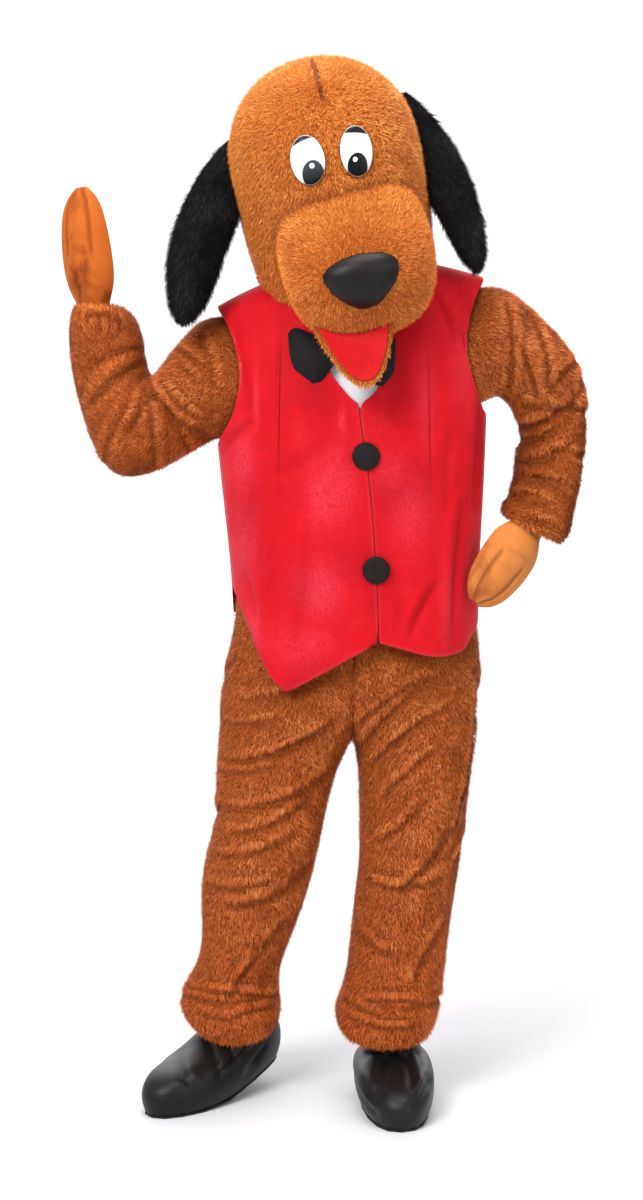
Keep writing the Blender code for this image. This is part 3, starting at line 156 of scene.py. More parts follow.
LAMPS_AIM = Vector((0, 0, -0.35))
for where, size, watts in (
    ((-1.8, -3.0, 1.9), 1.6, 150),
    ((2.8, -2.6, 0.4), 2.0, 30),
    ((0.1, -0.7, 2.6), 1.6, 70),
    ((0.0, 2.6, 0.6), 3.0, 60),
):
    bpy.ops.object.light_add(type="AREA", location=where)
    lamp = bpy.context.object
    lamp.data.size = size
    lamp.data.energy = watts
    aim = LAMPS_AIM - Vector(where)
    lamp.rotation_euler = aim.to_track_quat("-Z", "Y").to_euler()

# The suit's legs
# Long tubes of brown fur cloth, joined in one seam from the waist through the crotch. They hang in slanting
# folds and gather above the shoes, with short, dense pile combed down.

OUTER, BACKING = 0, 1
RIM_TURN = math.radians(58)
CORNER_TURN = math.radians(35)
SAME_POINT, SEAM_REACH = 2e-5, 0.00045
QUAD_FLAT, QUAD_SQUARE = math.radians(60), math.radians(70)
CRISP = 0.9


def cut_cloth(name, finer, *nodes, ridge=math.pi):
    """The cloth of a solid, or of panels sewn edge to edge, as one finer mesh. Its right side is marked
    OUTER, its edges and wrong side BACKING. The line between them stays crisp, as do edges that turn more
    than ridge."""
    work = bmesh.new()
    for node in nodes:
        work.from_mesh(frame["nodes"][node].data)
    bmesh.ops.remove_doubles(work, verts=work.verts, dist=SAME_POINT)
    if len(nodes) > 1:
        sewn = bmesh.ops.find_doubles(work, verts=work.verts, dist=SEAM_REACH)["targetmap"]
        touching = set(sewn) | set(sewn.values())
        rims = [face for face in work.faces if all(point in touching for point in face.verts)]
        bmesh.ops.delete(work, geom=rims, context="FACES")
        bmesh.ops.weld_verts(work, targetmap=sewn)
    left, sides = set(work.faces), []
    while left:
        side = [left.pop()]
        for face in side:
            for edge in face.edges:
                if len(edge.link_faces) != 2 or edge.calc_face_angle() > RIM_TURN:
                    continue
                for near in edge.link_faces:
                    if near in left:
                        left.remove(near)
                        side.append(near)
        sides.append((sum(face.calc_area() for face in side), side))
    right_side = set(max(sides, key=lambda entry: entry[0])[1])
    for face in work.faces:
        face.material_index = OUTER if face in right_side else BACKING
        face.smooth = True
    crisp_edge = work.edges.layers.float.new("crease_edge")
    crisp_corner = work.verts.layers.float.new("crease_vert")
    for edge in work.edges:
        rim = len({face.material_index for face in edge.link_faces}) > 1
        if rim or (len(edge.link_faces) == 2 and edge.calc_face_angle() > ridge):
            edge[crisp_edge] = CRISP
    for point in work.verts:
        ways = [edge.other_vert(point).co - point.co for edge in point.link_edges if edge[crisp_edge] > 0]
        if len(ways) == 2 and ways[0].angle(ways[1]) < math.pi - CORNER_TURN:
            point[crisp_corner] = CRISP
    cloth = bpy.data.objects.new(name, bpy.data.meshes.new(name))
    bpy.context.scene.collection.objects.link(cloth)
    work.to_mesh(cloth.data)
    work.free()
    bpy.ops.object.select_all(action="DESELECT")
    cloth.select_set(True)
    bpy.context.view_layer.objects.active = cloth
    for attribute in [a.name for a in cloth.data.attributes if a.name in ("custom_normal", "sharp_edge")]:
        cloth.data.attributes.remove(cloth.data.attributes[attribute])
    bpy.ops.object.mode_set(mode="EDIT")
    bpy.ops.mesh.select_all(action="SELECT")
    bpy.ops.mesh.tris_convert_to_quads(face_threshold=QUAD_FLAT, shape_threshold=QUAD_SQUARE, materials=True)
    bpy.ops.mesh.select_all(action="DESELECT")
    bpy.ops.object.mode_set(mode="OBJECT")
    smooth = cloth.modifiers.new("weave", "SUBSURF")
    smooth.levels = smooth.render_levels = finer
    bpy.ops.object.modifier_apply(modifier="weave")
    return cloth


def points_of(mesh):
    """(places, normals) of a mesh's points."""
    places, turned = np.empty(len(mesh.vertices) * 3), np.empty(len(mesh.vertices) * 3)
    mesh.vertices.foreach_get("co", places)
    mesh.vertex_normals.foreach_get("vector", turned)
    return places.reshape(-1, 3), turned.reshape(-1, 3)


def right_side_points(mesh):
    """Which points lie on a face of the right side."""
    found = np.zeros(len(mesh.vertices), bool)
    for face in mesh.polygons:
        if face.material_index == OUTER:
            found[list(face.vertices)] = True
    return found


PRESSED_UNIT = 0.008
FOLD_STEPS, FOLD_REACH = 12, 5
RIDGE_HEIGHT, RIDGE_OFF, RIDGE_WIDTH = 0.45, 1.9, 1.2


def fold_push(places, turned, folds):
    """How far each place moves out along its normal as soft creases are pressed in. Each fold is (the
    azimuth it is seen from, start across, start up, end across, end up, bow, width, depth), with lengths in
    millimetres. Its trough follows a bowed line, with a low ridge along its upper side."""
    push = np.zeros(len(places))
    spread = np.linspace(0, 1, FOLD_STEPS)
    for azimuth, *ends, bow, width, depth in folds:
        a = math.radians(azimuth)
        x0, z0, x1, z1, width, depth = (length / 1000 for length in (*ends, width, depth))
        seen_from, across = np.array((math.sin(a), -math.cos(a), 0)), np.array((math.cos(a), math.sin(a), 0))
        start, end = np.array((x0, z0)), np.array((x1, z1))
        run = end - start
        aside = np.array((-run[1], run[0]))
        if aside[1] < 0:
            aside = -aside
        line = start + np.outer(spread, run) + np.outer(4 * spread * (1 - spread) * bow, aside)
        u, v = places @ across, places[:, 2]
        facing = np.clip((turned @ seen_from) * 3 + 0.3, 0, 1)
        reach = FOLD_REACH * width
        low, high = line.min(axis=0) - reach, line.max(axis=0) + reach
        here = np.flatnonzero((facing > 0) & (u > low[0]) & (u < high[0]) & (v > low[1]) & (v < high[1]))
        u, v, facing = u[here], v[here], facing[here]
        nearest, share, above = np.full(len(here), 9.0), np.zeros(len(here)), np.zeros(len(here))
        for i in range(len(line) - 1):
            step = line[i + 1] - line[i]
            t = np.clip(((u - line[i, 0]) * step[0] + (v - line[i, 1]) * step[1]) / step.dot(step), 0, 1)
            du, dv = u - line[i, 0] - t * step[0], v - line[i, 1] - t * step[1]
            off = np.hypot(du, dv)
            closer = off < nearest
            nearest = np.where(closer, off, nearest)
            share = np.where(closer, (i + t) / (len(line) - 1), share)
            above = np.where(closer, np.sign(du * aside[0] + dv * aside[1]), above)
        fade = np.sqrt(np.clip(np.sin(np.pi * share), 0, 1))
        fade = fade * np.exp(-np.maximum(nearest - 3 * width, 0) / width)
        trough = -depth * np.exp(-((nearest / width) ** 2))
        from_crest = (nearest - RIDGE_OFF * width) / (RIDGE_WIDTH * width)
        ridge = RIDGE_HEIGHT * depth * np.exp(-(from_crest**2)) * (above > 0)
        push[here] += (trough + ridge) * facing * fade
    return push


def press_folds(cloth, folds):
    """Presses folds into a cloth, and keeps how deep each of its points went as the attribute "pressed"."""
    places, turned = points_of(cloth.data)
    outer = right_side_points(cloth.data)
    push = fold_push(places, turned, folds) * outer
    move_wall(cloth, turned * push[:, None], outer)
    pressed = cloth.data.attributes.new("pressed", "FLOAT", "POINT")
    pressed.data.foreach_set("value", -push / PRESSED_UNIT)


def move_wall(cloth, moves, outer):
    """Moves the right side's points, and takes the wrong side along with the nearest of them."""
    places, _ = points_of(cloth.data)
    here = np.flatnonzero(outer)
    tree = KDTree(len(here))
    for i in here:
        tree.insert(places[i], i)
    tree.balance()
    for i in np.flatnonzero(~outer):
        moves[i] = moves[tree.find(places[i])[1]]
    cloth.data.vertices.foreach_set("co", (places + moves).ravel())
    cloth.data.update()


def add_node(tree, kind, inputs=(), **settings):
    made = tree.nodes.new(kind)
    for name, value in settings.items():
        setattr(made, name, value)
    for name, value in dict(inputs).items():
        if isinstance(value, bpy.types.NodeSocket):
            tree.links.new(value, made.inputs[name])
        else:
            made.inputs[name].default_value = value
    return made


def scaled_place(tree, scale=(1, 1, 1)):
    place = add_node(tree, "ShaderNodeTexCoord").outputs["Object"]
    return add_node(tree, "ShaderNodeMapping", {"Vector": place, "Scale": scale}).outputs["Vector"]


def speckle(tree, per_metre, detail, roughness, stretch=(1, 1, 1), distortion=0.0):
    """A noise pattern over the piece, as a socket from 0 to 1."""
    made = add_node(tree, "ShaderNodeTexNoise",
                    {"Vector": scaled_place(tree, stretch), "Scale": per_metre, "Detail": detail,
                     "Roughness": roughness, "Distortion": distortion})
    return made.outputs["Fac"]


def rescaled(tree, value, low=0.0, high=1.0, to_low=0.0, to_high=1.0):
    """A socket's value, held between low and high and carried over to the other two."""
    made = add_node(tree, "ShaderNodeMapRange",
                    {"Value": value, "From Min": low, "From Max": high, "To Min": to_low, "To Max": to_high})
    return made.outputs["Result"]


def written(tree, name):
    """What the cloth's mesh says under a name, as a socket."""
    return add_node(tree, "ShaderNodeAttribute", attribute_name=name).outputs["Fac"]


def dimmed(tree, colour, share):
    made = add_node(tree, "ShaderNodeVectorMath", {0: colour}, operation="SCALE")
    tree.links.new(share, made.inputs["Scale"])
    return made.outputs["Vector"]


def emboss(tree, shader, *layers):
    """Raises a finish by layers of (strength, distance, height), the broadest first."""
    normal = None
    for strength, distance, height in layers:
        bump = add_node(tree, "ShaderNodeBump",
                        {"Strength": strength, "Distance": distance, "Height": height})
        if normal is not None:
            tree.links.new(normal, bump.inputs["Normal"])
        normal = bump.outputs["Normal"]
    tree.links.new(normal, shader.inputs["Normal"])


def new_finish(name, roughness, sheen=0.0, sheen_tint=(1, 1, 1), shine=0.3):
    """(material, its node tree, its shader) for a cloth."""
    made = bpy.data.materials.new(name)
    made.use_nodes = True
    tree = made.node_tree
    shader = tree.nodes["Principled BSDF"]
    shader.inputs["Roughness"].default_value = roughness
    shader.inputs["Sheen Weight"].default_value = sheen
    shader.inputs["Sheen Tint"].default_value = (*sheen_tint, 1)
    shader.inputs["Sheen Roughness"].default_value = 0.45
    shader.inputs["Specular IOR Level"].default_value = shine
    return made, tree, shader


def ramp(tree, factor, stops):
    made = add_node(tree, "ShaderNodeValToRGB", {"Fac": factor})
    while len(made.color_ramp.elements) < len(stops):
        made.color_ramp.elements.new(0.5)
    for element, (place, colour) in zip(made.color_ramp.elements, stops):
        element.position = place
        element.color = (*colour, 1)
    return made.outputs["Color"]


def pile_bed(name, dark, mid, light):
    """The pile's bed, seen between the hairs, in fine upright flecks."""
    made, tree, shader = new_finish(name, 0.9, shine=0.1)
    fleck = speckle(tree, 420, 3, 0.7, (1, 1, 0.35))
    colour = ramp(tree, fleck, ((0.35, dark), (0.52, mid), (0.72, light)))
    tree.links.new(colour, shader.inputs["Base Color"])
    emboss(tree, shader, (0.6, 0.002, fleck))
    return made


def knit_backing(name, colour, shade):
    """The knitted wrong side of the fur cloth: fine ribs of thread."""
    made, tree, shader = new_finish(name, 0.9, shine=0.1)
    thread = {"Vector": scaled_place(tree), "Scale": 160, "Distortion": 3, "Detail Scale": 8}
    rib = add_node(tree, "ShaderNodeTexWave", thread).outputs["Fac"]
    tree.links.new(ramp(tree, rib, ((0, shade), (1, colour))), shader.inputs["Base Color"])
    emboss(tree, shader, (0.3, 0.0006, rib))
    return made


TONES = 32  # shades in each of a pile's two families
TIP_LIGHT = 1.08
HAIR_MAP = "OFBake"
PILE_SINK = 0.003
SWIRL_SCALE, CLUMP_SCALE = 26, 110
SWIRL_TURN, CLUMP_TURN, LOOSE_TURN = 0.6, 0.35, 0.26
HAIR_LENGTHS, HAIR_WIDTHS = (0.65, 1.15), (0.7, 1.3)
HAIR_DROOP, SEAM_SHORTER = 0.1, 0.7
TONE_SPREAD, SWIRL_TONE, CLUMP_TONE = 0.18, 0.18, 0.1
FOLD_SHADE, SEAM_SHADE, NEAR_SHADE = 0.5, 1.1, 0.4
SEAM_PARTING = 0.0017


def pile_hair(name, plain, warm, root_shade, sheen, tint, roughness=0.55, shine=0.22):
    """The hairs. Each one's map has its tone across, the plain tones first, and root to tip upwards."""
    made, tree, shader = new_finish(name, roughness, sheen, tint, shine)
    place = add_node(tree, "ShaderNodeUVMap", uv_map=HAIR_MAP).outputs["UV"]
    split = add_node(tree, "ShaderNodeSeparateXYZ", {"Vector": place})
    stops = [(at / 2, colour) for at, colour in plain] + [(0.5 + at / 2, colour) for at, colour in warm]
    tone = ramp(tree, split.outputs["X"], stops)
    shade = rescaled(tree, split.outputs["Y"], to_low=root_shade, to_high=TIP_LIGHT)
    tree.links.new(dimmed(tree, tone, shade), shader.inputs["Base Color"])
    return made


def beside_seams(places, seams):
    """How near places on the front lie to any of the seams: 1 on one, and little beyond its parting."""
    near = np.zeros(len(places))
    for ends in seams:
        x0, z0, x1, z1 = (length / 1000 for length in ends)
        run = np.array((x1 - x0, z1 - z0))
        off = places[:, (0, 2)] - (x0, z0)
        t = np.clip(off @ run / run.dot(run), 0, 1)
        away = np.linalg.norm(off - t[:, None] * run, axis=1)
        near = np.maximum(near, np.exp(-((away / SEAM_PARTING) ** 2)))
    return near


def grow_pile(cloth, name, hairs, length, width, lie, comb, hair, seed, warmth=None, where=None, folds=(),
              tangle=1.0, shaded=None, seams=()):
    """Grows hairs on a cloth's right side, each one a slim blade. lie is the least and most angle in
    degrees at which they leave it, comb gives the way they are brushed at each place, warmth the share of
    warm tones there, and where says which places have any. They follow the folds, darken where shaded says
    so, and are parted along seams, each (across, up, to across, to up) in millimetres as seen from the
    front."""
    mesh = cloth.data
    mesh.calc_loop_triangles()
    places, turned = points_of(mesh)
    corners = np.array([t.vertices[:] for t in mesh.loop_triangles if t.material_index == OUTER])
    if where is not None:
        corners = corners[where(places[corners].mean(axis=1))]
    a, b, c = (places[corners[:, k]] for k in range(3))
    areas = np.linalg.norm(np.cross(b - a, c - a), axis=1)
    rng = np.random.default_rng(seed)
    spot = np.searchsorted(np.cumsum(areas) / areas.sum(), rng.random(hairs))
    spot = np.minimum(spot, len(corners) - 1)
    u, v = rng.random(hairs), rng.random(hairs)
    over = u + v > 1
    u[over], v[over] = 1 - u[over], 1 - v[over]
    weights = np.stack([1 - u - v, u, v], axis=1)
    root = (places[corners[spot]] * weights[..., None]).sum(axis=1)
    out = (turned[corners[spot]] * weights[..., None]).sum(axis=1)
    out /= np.linalg.norm(out, axis=1, keepdims=True)
    pressed = np.zeros(len(places))
    if "pressed" in mesh.attributes:
        mesh.attributes["pressed"].data.foreach_get("value", pressed)
    pressed = (pressed[corners[spot]] * weights).sum(axis=1)
    if folds:
        push = fold_push(root, out, folds)
        root = root + out * (push + pressed * PRESSED_UNIT)[:, None]
        pressed = -push / PRESSED_UNIT
    brushed = comb(root)
    brushed = brushed - out * (brushed * out).sum(axis=1, keepdims=True)
    brushed /= np.maximum(np.linalg.norm(brushed, axis=1, keepdims=True), 1e-6)
    aside = np.cross(out, brushed)
    swirl = np.array([noise.noise(Vector(p) * SWIRL_SCALE + Vector((seed, 0, 0))) for p in root])
    clump = np.array([noise.noise(Vector(p) * CLUMP_SCALE + Vector((0, seed, 0))) for p in root])
    turn = (swirl * SWIRL_TURN + clump * CLUMP_TURN + rng.normal(0, LOOSE_TURN, hairs)) * tangle
    brushed, aside = (
        brushed * np.cos(turn)[:, None] + aside * np.sin(turn)[:, None],
        aside * np.cos(turn)[:, None] - brushed * np.sin(turn)[:, None],
    )
    lift = np.radians(rng.uniform(*lie, hairs))
    way = brushed * np.cos(lift)[:, None] + out * np.sin(lift)[:, None]
    above = out * np.cos(lift)[:, None] - brushed * np.sin(lift)[:, None]
    long = length * rng.uniform(*HAIR_LENGTHS, hairs) * (1 - SEAM_SHORTER * beside_seams(root, seams))
    long = long[:, None]
    half = (width / 2 * rng.uniform(*HAIR_WIDTHS, hairs))[:, None]
    start = root - out * PILE_SINK
    tip = start + way * long - above * long * HAIR_DROOP
    points = np.stack([start - aside * half, start + aside * half, tip], axis=1)

    tone = 0.5 + rng.normal(0, TONE_SPREAD, hairs) + SWIRL_TONE * swirl + CLUMP_TONE * clump
    # Painted shade darkens the hairs in fold troughs, along seams and near the parts that shaded measures; a
    # little painted light pales them on fold ridges.
    tone -= FOLD_SHADE * np.clip(pressed, -0.12, 1.2)
    tone -= SEAM_SHADE * np.maximum(beside_seams((start + tip) / 2, seams), beside_seams(tip, seams))
    if shaded is not None:
        tone -= NEAR_SHADE * shaded(root)
    tone = np.clip((tone * TONES).astype(int), 0, TONES - 1)
    if warmth is not None:
        tone = tone + TONES * (rng.random(hairs) < warmth(root))
    middle_u = (tone + 0.5) / (2 * TONES)
    side_u = 0.35 / (2 * TONES)
    low, high = np.full(hairs, 0.01), np.full(hairs, 0.99)
    mapped = np.stack([middle_u - side_u, low, middle_u + side_u, low, middle_u, high], axis=1)
    made = bpy.data.meshes.new(name)
    made.vertices.add(hairs * 3)
    made.vertices.foreach_set("co", points.ravel())
    made.loops.add(hairs * 3)
    made.loops.foreach_set("vertex_index", np.arange(hairs * 3))
    made.polygons.add(hairs)
    made.polygons.foreach_set("loop_start", np.arange(hairs) * 3)
    made.update(calc_edges=True)
    made.uv_layers.new(name=HAIR_MAP).data.foreach_set("uv", mapped.ravel())
    made.shade_smooth()
    made.materials.append(hair)
    pile = bpy.data.objects.new(name, made)
    bpy.context.scene.collection.objects.link(pile)
    return pile


def wear(piece, slot, *nodes):
    """The piece belongs to the costume and stands for its solids, which are hidden. slot is not used."""
    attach(piece, "root")
    if nodes:
        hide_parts(*nodes)


def finish_cloth(cloth, *finishes):
    for finish in finishes:
        cloth.data.materials.append(finish)


brown_bed = pile_bed("brown_pile_bed", (0.07, 0.013, 0.003), (0.22, 0.046, 0.008), (0.42, 0.1, 0.02))
brown_backing = knit_backing("brown_backing", (0.2, 0.085, 0.035), (0.12, 0.048, 0.02))
brown_hair = pile_hair(
    "brown_pile",
    ((0.0, (0.14, 0.022, 0.004)), (0.3, (0.41, 0.075, 0.01)), (0.55, (0.67, 0.146, 0.021)),
     (0.8, (0.88, 0.26, 0.047)), (0.97, (0.99, 0.5, 0.17))),
    ((0.03, (0.18, 0.024, 0.004)), (0.3, (0.49, 0.075, 0.009)), (0.55, (0.74, 0.134, 0.015)),
     (0.8, (0.9, 0.225, 0.032)), (1.0, (0.99, 0.42, 0.11))),
    0.42, 0.06, (1.0, 0.72, 0.45),
)

LEG_FOLDS = {
    # seen from, across, up, to across, to up, bow, width, depth; in degrees and millimetres
    "right": (
        (0, -26, -650, -200, -716, -0.06, 7, 8), (0, -130, -738, -232, -758, -0.06, 6, 7),
        (0, -30, -744, -230, -826, -0.07, 7.5, 10.5), (0, -125, -822, -248, -844, -0.05, 5.5, 6.5),
        (0, -35, -834, -225, -906, -0.08, 7.5, 9.5), (0, -75, -880, -220, -950, -0.08, 6.5, 8.5),
        (0, -100, -940, -240, -990, -0.08, 6.5, 7.5), (0, -75, -1000, -232, -1080, -0.12, 8, 11.5),
        (0, -150, -1032, -262, -1044, -0.06, 5.5, 7), (0, -120, -1105, -226, -1270, 0.04, 7, 10),
        (0, -150, -1140, -216, -1240, 0.03, 5.5, 7), (0, -300, -1258, -135, -1272, 0.1, 6, 8.5),
        (0, -228, -1300, -150, -1284, 0.1, 5.5, 7), (0, -285, -1292, -215, -1306, 0.08, 5, 6),
        (180, 20, -700, 215, -790, -0.1, 8, 10), (180, 35, -780, 180, -850, -0.08, 6.5, 7),
        (180, 45, -870, 225, -930, -0.1, 8, 9), (180, 90, -1020, 240, -1075, -0.12, 8, 11),
        (180, 120, -1090, 240, -1180, -0.06, 6.5, 8), (180, 150, -1230, 290, -1262, 0.1, 7, 9),
        (-90, 60, -640, -80, -780, 0.06, 8, 8), (-90, 70, -900, -60, -980, 0.06, 8, 8),
        (-90, 80, -1270, -80, -1285, 0.06, 6, 7),
    ),
    "left": (
        (0, 4, -757, 132, -666, 0.05, 6.5, 9), (0, 14, -796, 158, -664, 0.08, 6.5, 8.5),
        (0, 25, -840, 168, -722, 0.08, 7, 8.5), (0, 48, -895, 140, -796, 0.06, 6, 7),
        (0, 217, -680, 194, -900, -0.03, 5.5, 10.5), (0, 200, -850, 160, -1000, -0.04, 6, 10),
        (0, 170, -935, 70, -1050, -0.08, 8, 11.5), (0, 124, -880, 40, -965, -0.06, 6.5, 7.5),
        (0, 20, -1036, 155, -1026, -0.1, 6.5, 8), (0, 160, -1110, 105, -1220, 0.04, 6, 8.5),
        (0, 8, -1128, 74, -1170, -0.1, 7, 8), (0, -16, -1288, 120, -1302, -0.06, 5.5, 8.5),
        (0, 25, -1260, 125, -1262, 0.08, 5.5, 8), (0, -20, -1264, 50, -1284, 0.06, 5, 6.5),
        (180, -60, -720, -220, -800, -0.1, 8, 9), (180, -30, -800, -170, -860, -0.1, 6.5, 7),
        (180, -50, -900, -200, -960, -0.08, 8, 9), (180, -30, -1060, -180, -1110, -0.1, 8, 10),
        (180, -20, -1150, -120, -1200, -0.1, 6.5, 7), (180, -10, -1270, -140, -1250, 0.1, 6.5, 9),
        (90, -60, -660, 70, -800, 0.06, 8, 8), (90, 60, -940, -60, -1010, 0.06, 8, 8),
        (90, -70, -1270, 80, -1285, 0.06, 6, 7),
    ),
}
WARM_FROM, WARM_OVER = 1.02, 0.28
SUIT_HAIR = (0.0125, 0.0016, (18, 55))


def down(places):
    return np.tile((0.0, 0.0, -1.0), (len(places), 1))


def warm_at_hems(places):
    """The share of redder hairs grows from the shins down to the hems."""
    return np.clip((-places[:, 2] - WARM_FROM) / WARM_OVER, 0.05, 0.9)


for side, seed in (("right", 11), ("left", 12)):
    panels = (f"leg_{side}_front", f"leg_{side}_back")
    leg = cut_cloth(f"leg_cloth_{side}", 2, *panels)
    press_folds(leg, LEG_FOLDS[side])
    finish_cloth(leg, brown_bed, brown_backing)
    pile = grow_pile(leg, f"leg_pile_{side}", 140000, *SUIT_HAIR, down, brown_hair, seed, warm_at_hems,
                     folds=LEG_FOLDS[side])
    wear(leg, "brown_fur", *panels)
    wear(pile, "brown_fur")

# The suit's body
# A front and a back panel of the same fur cloth. The waistcoat covers nearly all of it, so its pile is only
# grown where it shows: round the armholes, at the neck and below the waistcoat's hem.

BODY_MIDDLE, ARMHOLES_OUT = -0.008, 0.205
VEST_HEM, VEST_NECK = -0.56, -0.02


def beside_the_vest(places):
    aside = np.abs(places[:, 0] - BODY_MIDDLE) > ARMHOLES_OUT
    return aside | (places[:, 2] < VEST_HEM) | (places[:, 2] > VEST_NECK)


torso = cut_cloth("torso_cloth", 1, "torso_front", "torso_back")
finish_cloth(torso, brown_bed, brown_backing)
pile = grow_pile(torso, "torso_pile", 9000, 0.012, 0.0021, (6, 16), down, brown_hair, 21,
                 where=beside_the_vest)
wear(torso, "brown_fur", "torso_front", "torso_back")
wear(pile, "brown_fur")

# The sleeves
# Tubes of the fur cloth sewn to the armholes. Deep folds fan out of the right one's elbow, and the left one
# bends back to the hip. Their pile is combed towards the cuffs.

COMB_REACH = 0.05
SLEEVE_AXES = {
    "right": ((-0.238, 0, -0.16), (-0.308, 0, -0.19), (-0.378, 0, -0.23), (-0.418, 0.005, -0.21),
              (-0.438, 0.01, -0.12), (-0.453, 0.012, -0.04)),
    "left": ((0.242, 0.01, -0.09), (0.322, 0.04, -0.15), (0.362, 0.09, -0.2), (0.347, 0.05, -0.31),
             (0.312, -0.02, -0.43)),
}
SLEEVE_FOLDS = {
    "right": (
        (0, -360, -155, -236, -264, -0.1, 7, 12.5), (0, -335, -160, -262, -228, -0.06, 5.5, 8),
        (0, -354, -168, -288, -284, 0.06, 6, 10), (0, -356, -172, -350, -322, 0.05, 6, 10),
        (0, -360, -172, -392, -256, -0.08, 6, 8.5), (0, -385, -200, -438, -322, 0.06, 6.5, 8.5),
        (0, -366, -130, -464, -216, 0.05, 7.5, 8), (0, -366, -110, -470, -150, 0.08, 6.5, 6),
        (0, -265, -76, -238, -176, 0.03, 6, 10), (0, -310, -104, -254, -142, 0.05, 5.5, 7),
        (0, -300, -132, -268, -166, 0.05, 5, 6), (0, -470, -60, -410, -74, 0.2, 5, 6.5),
        (0, -480, -46, -474, -88, 0.05, 4, 5.5), (0, -462, -44, -464, -78, 0.05, 3.5, 5),
        (0, -446, -46, -442, -92, 0.05, 4, 6), (0, -430, -46, -424, -76, 0.05, 3.5, 5),
        (0, -416, -50, -404, -90, 0.05, 4, 5.5), (180, 352, -155, 258, -245, -0.05, 7, 11.5),
        (180, 356, -162, 310, -285, 0.05, 6.5, 10), (180, 362, -170, 370, -300, 0.05, 6, 8),
        (180, 362, -160, 430, -255, -0.08, 7, 9), (180, 368, -120, 478, -120, 0.08, 7, 7),
        (180, 400, -62, 470, -56, 0.2, 5, 6),
    ),
    "left": (
        (0, 256, -24, 266, -178, 0.04, 6, 10), (0, 296, -36, 338, -176, 0.06, 6, 8.5),
        (0, 278, -96, 318, -194, 0.04, 6, 8.5), (0, 338, -186, 404, -118, 0.1, 6.5, 8.5),
        (0, 280, -240, 372, -204, -0.12, 7.5, 12), (0, 350, -226, 412, -130, -0.1, 6.5, 10),
        (0, 296, -262, 362, -236, -0.1, 6, 8), (0, 270, -303, 404, -252, -0.1, 7, 10.5),
        (0, 274, -330, 384, -346, 0.08, 6, 8.5), (0, 262, -358, 344, -374, 0.08, 5.5, 8),
        (0, 284, -392, 368, -424, 0.06, 5.5, 8), (180, -300, -240, -400, -180, 0.12, 7.5, 10.5),
        (180, -296, -275, -400, -260, 0.1, 7, 9), (180, -290, -320, -395, -340, 0.08, 6, 8),
        (180, -270, -365, -360, -385, 0.08, 5.5, 7), (90, -60, -215, 120, -235, 0.1, 8, 9),
        (90, -60, -290, 80, -310, 0.1, 6.5, 7),
    ),
}


def along(axis):
    """A comb that brushes towards the end of a line of points."""
    line = np.array(axis)
    steps = np.diff(line, axis=0)

    def comb(places):
        off = places[:, None] - (line[:-1] + line[1:])[None] / 2
        weight = np.exp(-(off**2).sum(axis=2) / COMB_REACH**2) + 1e-9
        return (weight[..., None] * steps[None]).sum(axis=1)

    return comb


for side, seed in (("right", 31), ("left", 32)):
    panels = (f"sleeve_{side}_front", f"sleeve_{side}_back")
    sleeve = cut_cloth(f"sleeve_cloth_{side}", 2, *panels)
    press_folds(sleeve, SLEEVE_FOLDS[side])
    finish_cloth(sleeve, brown_bed, brown_backing)
    comb = along(SLEEVE_AXES[side])
    pile = grow_pile(sleeve, f"sleeve_pile_{side}", 64000, *SUIT_HAIR, comb, brown_hair, seed,
                     folds=SLEEVE_FOLDS[side])
    wear(sleeve, "brown_fur", *panels)
    wear(pile, "brown_fur")

# The waistcoat
# Two fronts of red crushed velour with a dart in each, whose pile has been flattened into paler patches.
# They meet edge to edge below the V. The back is a red satin lining cloth.

VEST_FOLDS = {
    "right": (
        (0, -130, -86, -135, -350, 0.01, 2, 2.8), (0, -215, -60, -190, -240, 0.05, 10, 5),
        (0, -236, -286, -172, -232, 0.05, 7, 5), (0, -192, -490, -174, -592, 0.03, 8, 5),
        (0, -80, -400, -110, -640, -0.02, 14, 4), (0, -205, -560, -150, -690, 0.02, 9, 5),
        (0, -40, -260, -150, -330, -0.06, 12, 3), (0, -160, -330, -200, -440, 0.04, 10, 3),
    ),
    "left": (
        (0, 122, -110, 128, -360, 0.01, 2, 2.4), (0, 168, -60, 228, -196, 0.06, 8, 7.5),
        (0, 130, -10, 174, -104, 0.04, 7, 5.5), (0, 214, -180, 202, -392, -0.02, 7, 6.5),
        (0, 188, -360, 170, -622, 0.02, 8, 8.5), (0, 146, -505, 92, -612, 0.06, 8, 6.5),
        (0, 165, -240, 160, -400, 0.02, 11, 4), (0, 60, -470, 80, -620, 0.03, 14, 3.5),
        (0, 50, -210, 150, -250, -0.1, 12, 3),
    ),
    "back": (
        (180, 150, -90, 40, -330, 0.06, 12, 5), (180, -150, -90, -50, -310, -0.06, 12, 5),
        (180, 200, -250, 60, -420, 0.06, 12, 5), (180, -200, -260, -80, -430, -0.06, 12, 5),
        (180, 120, -430, 150, -640, 0.02, 14, 6), (180, -100, -450, -150, -650, 0.02, 14, 6),
        (180, 10, -380, 20, -640, 0.02, 16, 5), (180, 100, 20, -90, 18, 0.12, 12, 4),
    ),
}


def mark_edges(cloth, reach):
    """Writes how near each point of the right side lies to the cloth's edge, as the attribute "edge"."""
    places, _ = points_of(cloth.data)
    outer = right_side_points(cloth.data)
    backing = np.zeros(len(places), bool)
    for face in cloth.data.polygons:
        if face.material_index == BACKING:
            backing[list(face.vertices)] = True
    rim = np.flatnonzero(outer & backing)
    tree = KDTree(len(rim))
    for i in rim:
        tree.insert(places[i], i)
    tree.balance()
    near = np.array([1 - min(tree.find(p)[2] / reach, 1) for p in places])
    cloth.data.attributes.new("edge", "FLOAT", "POINT").data.foreach_set("value", near)


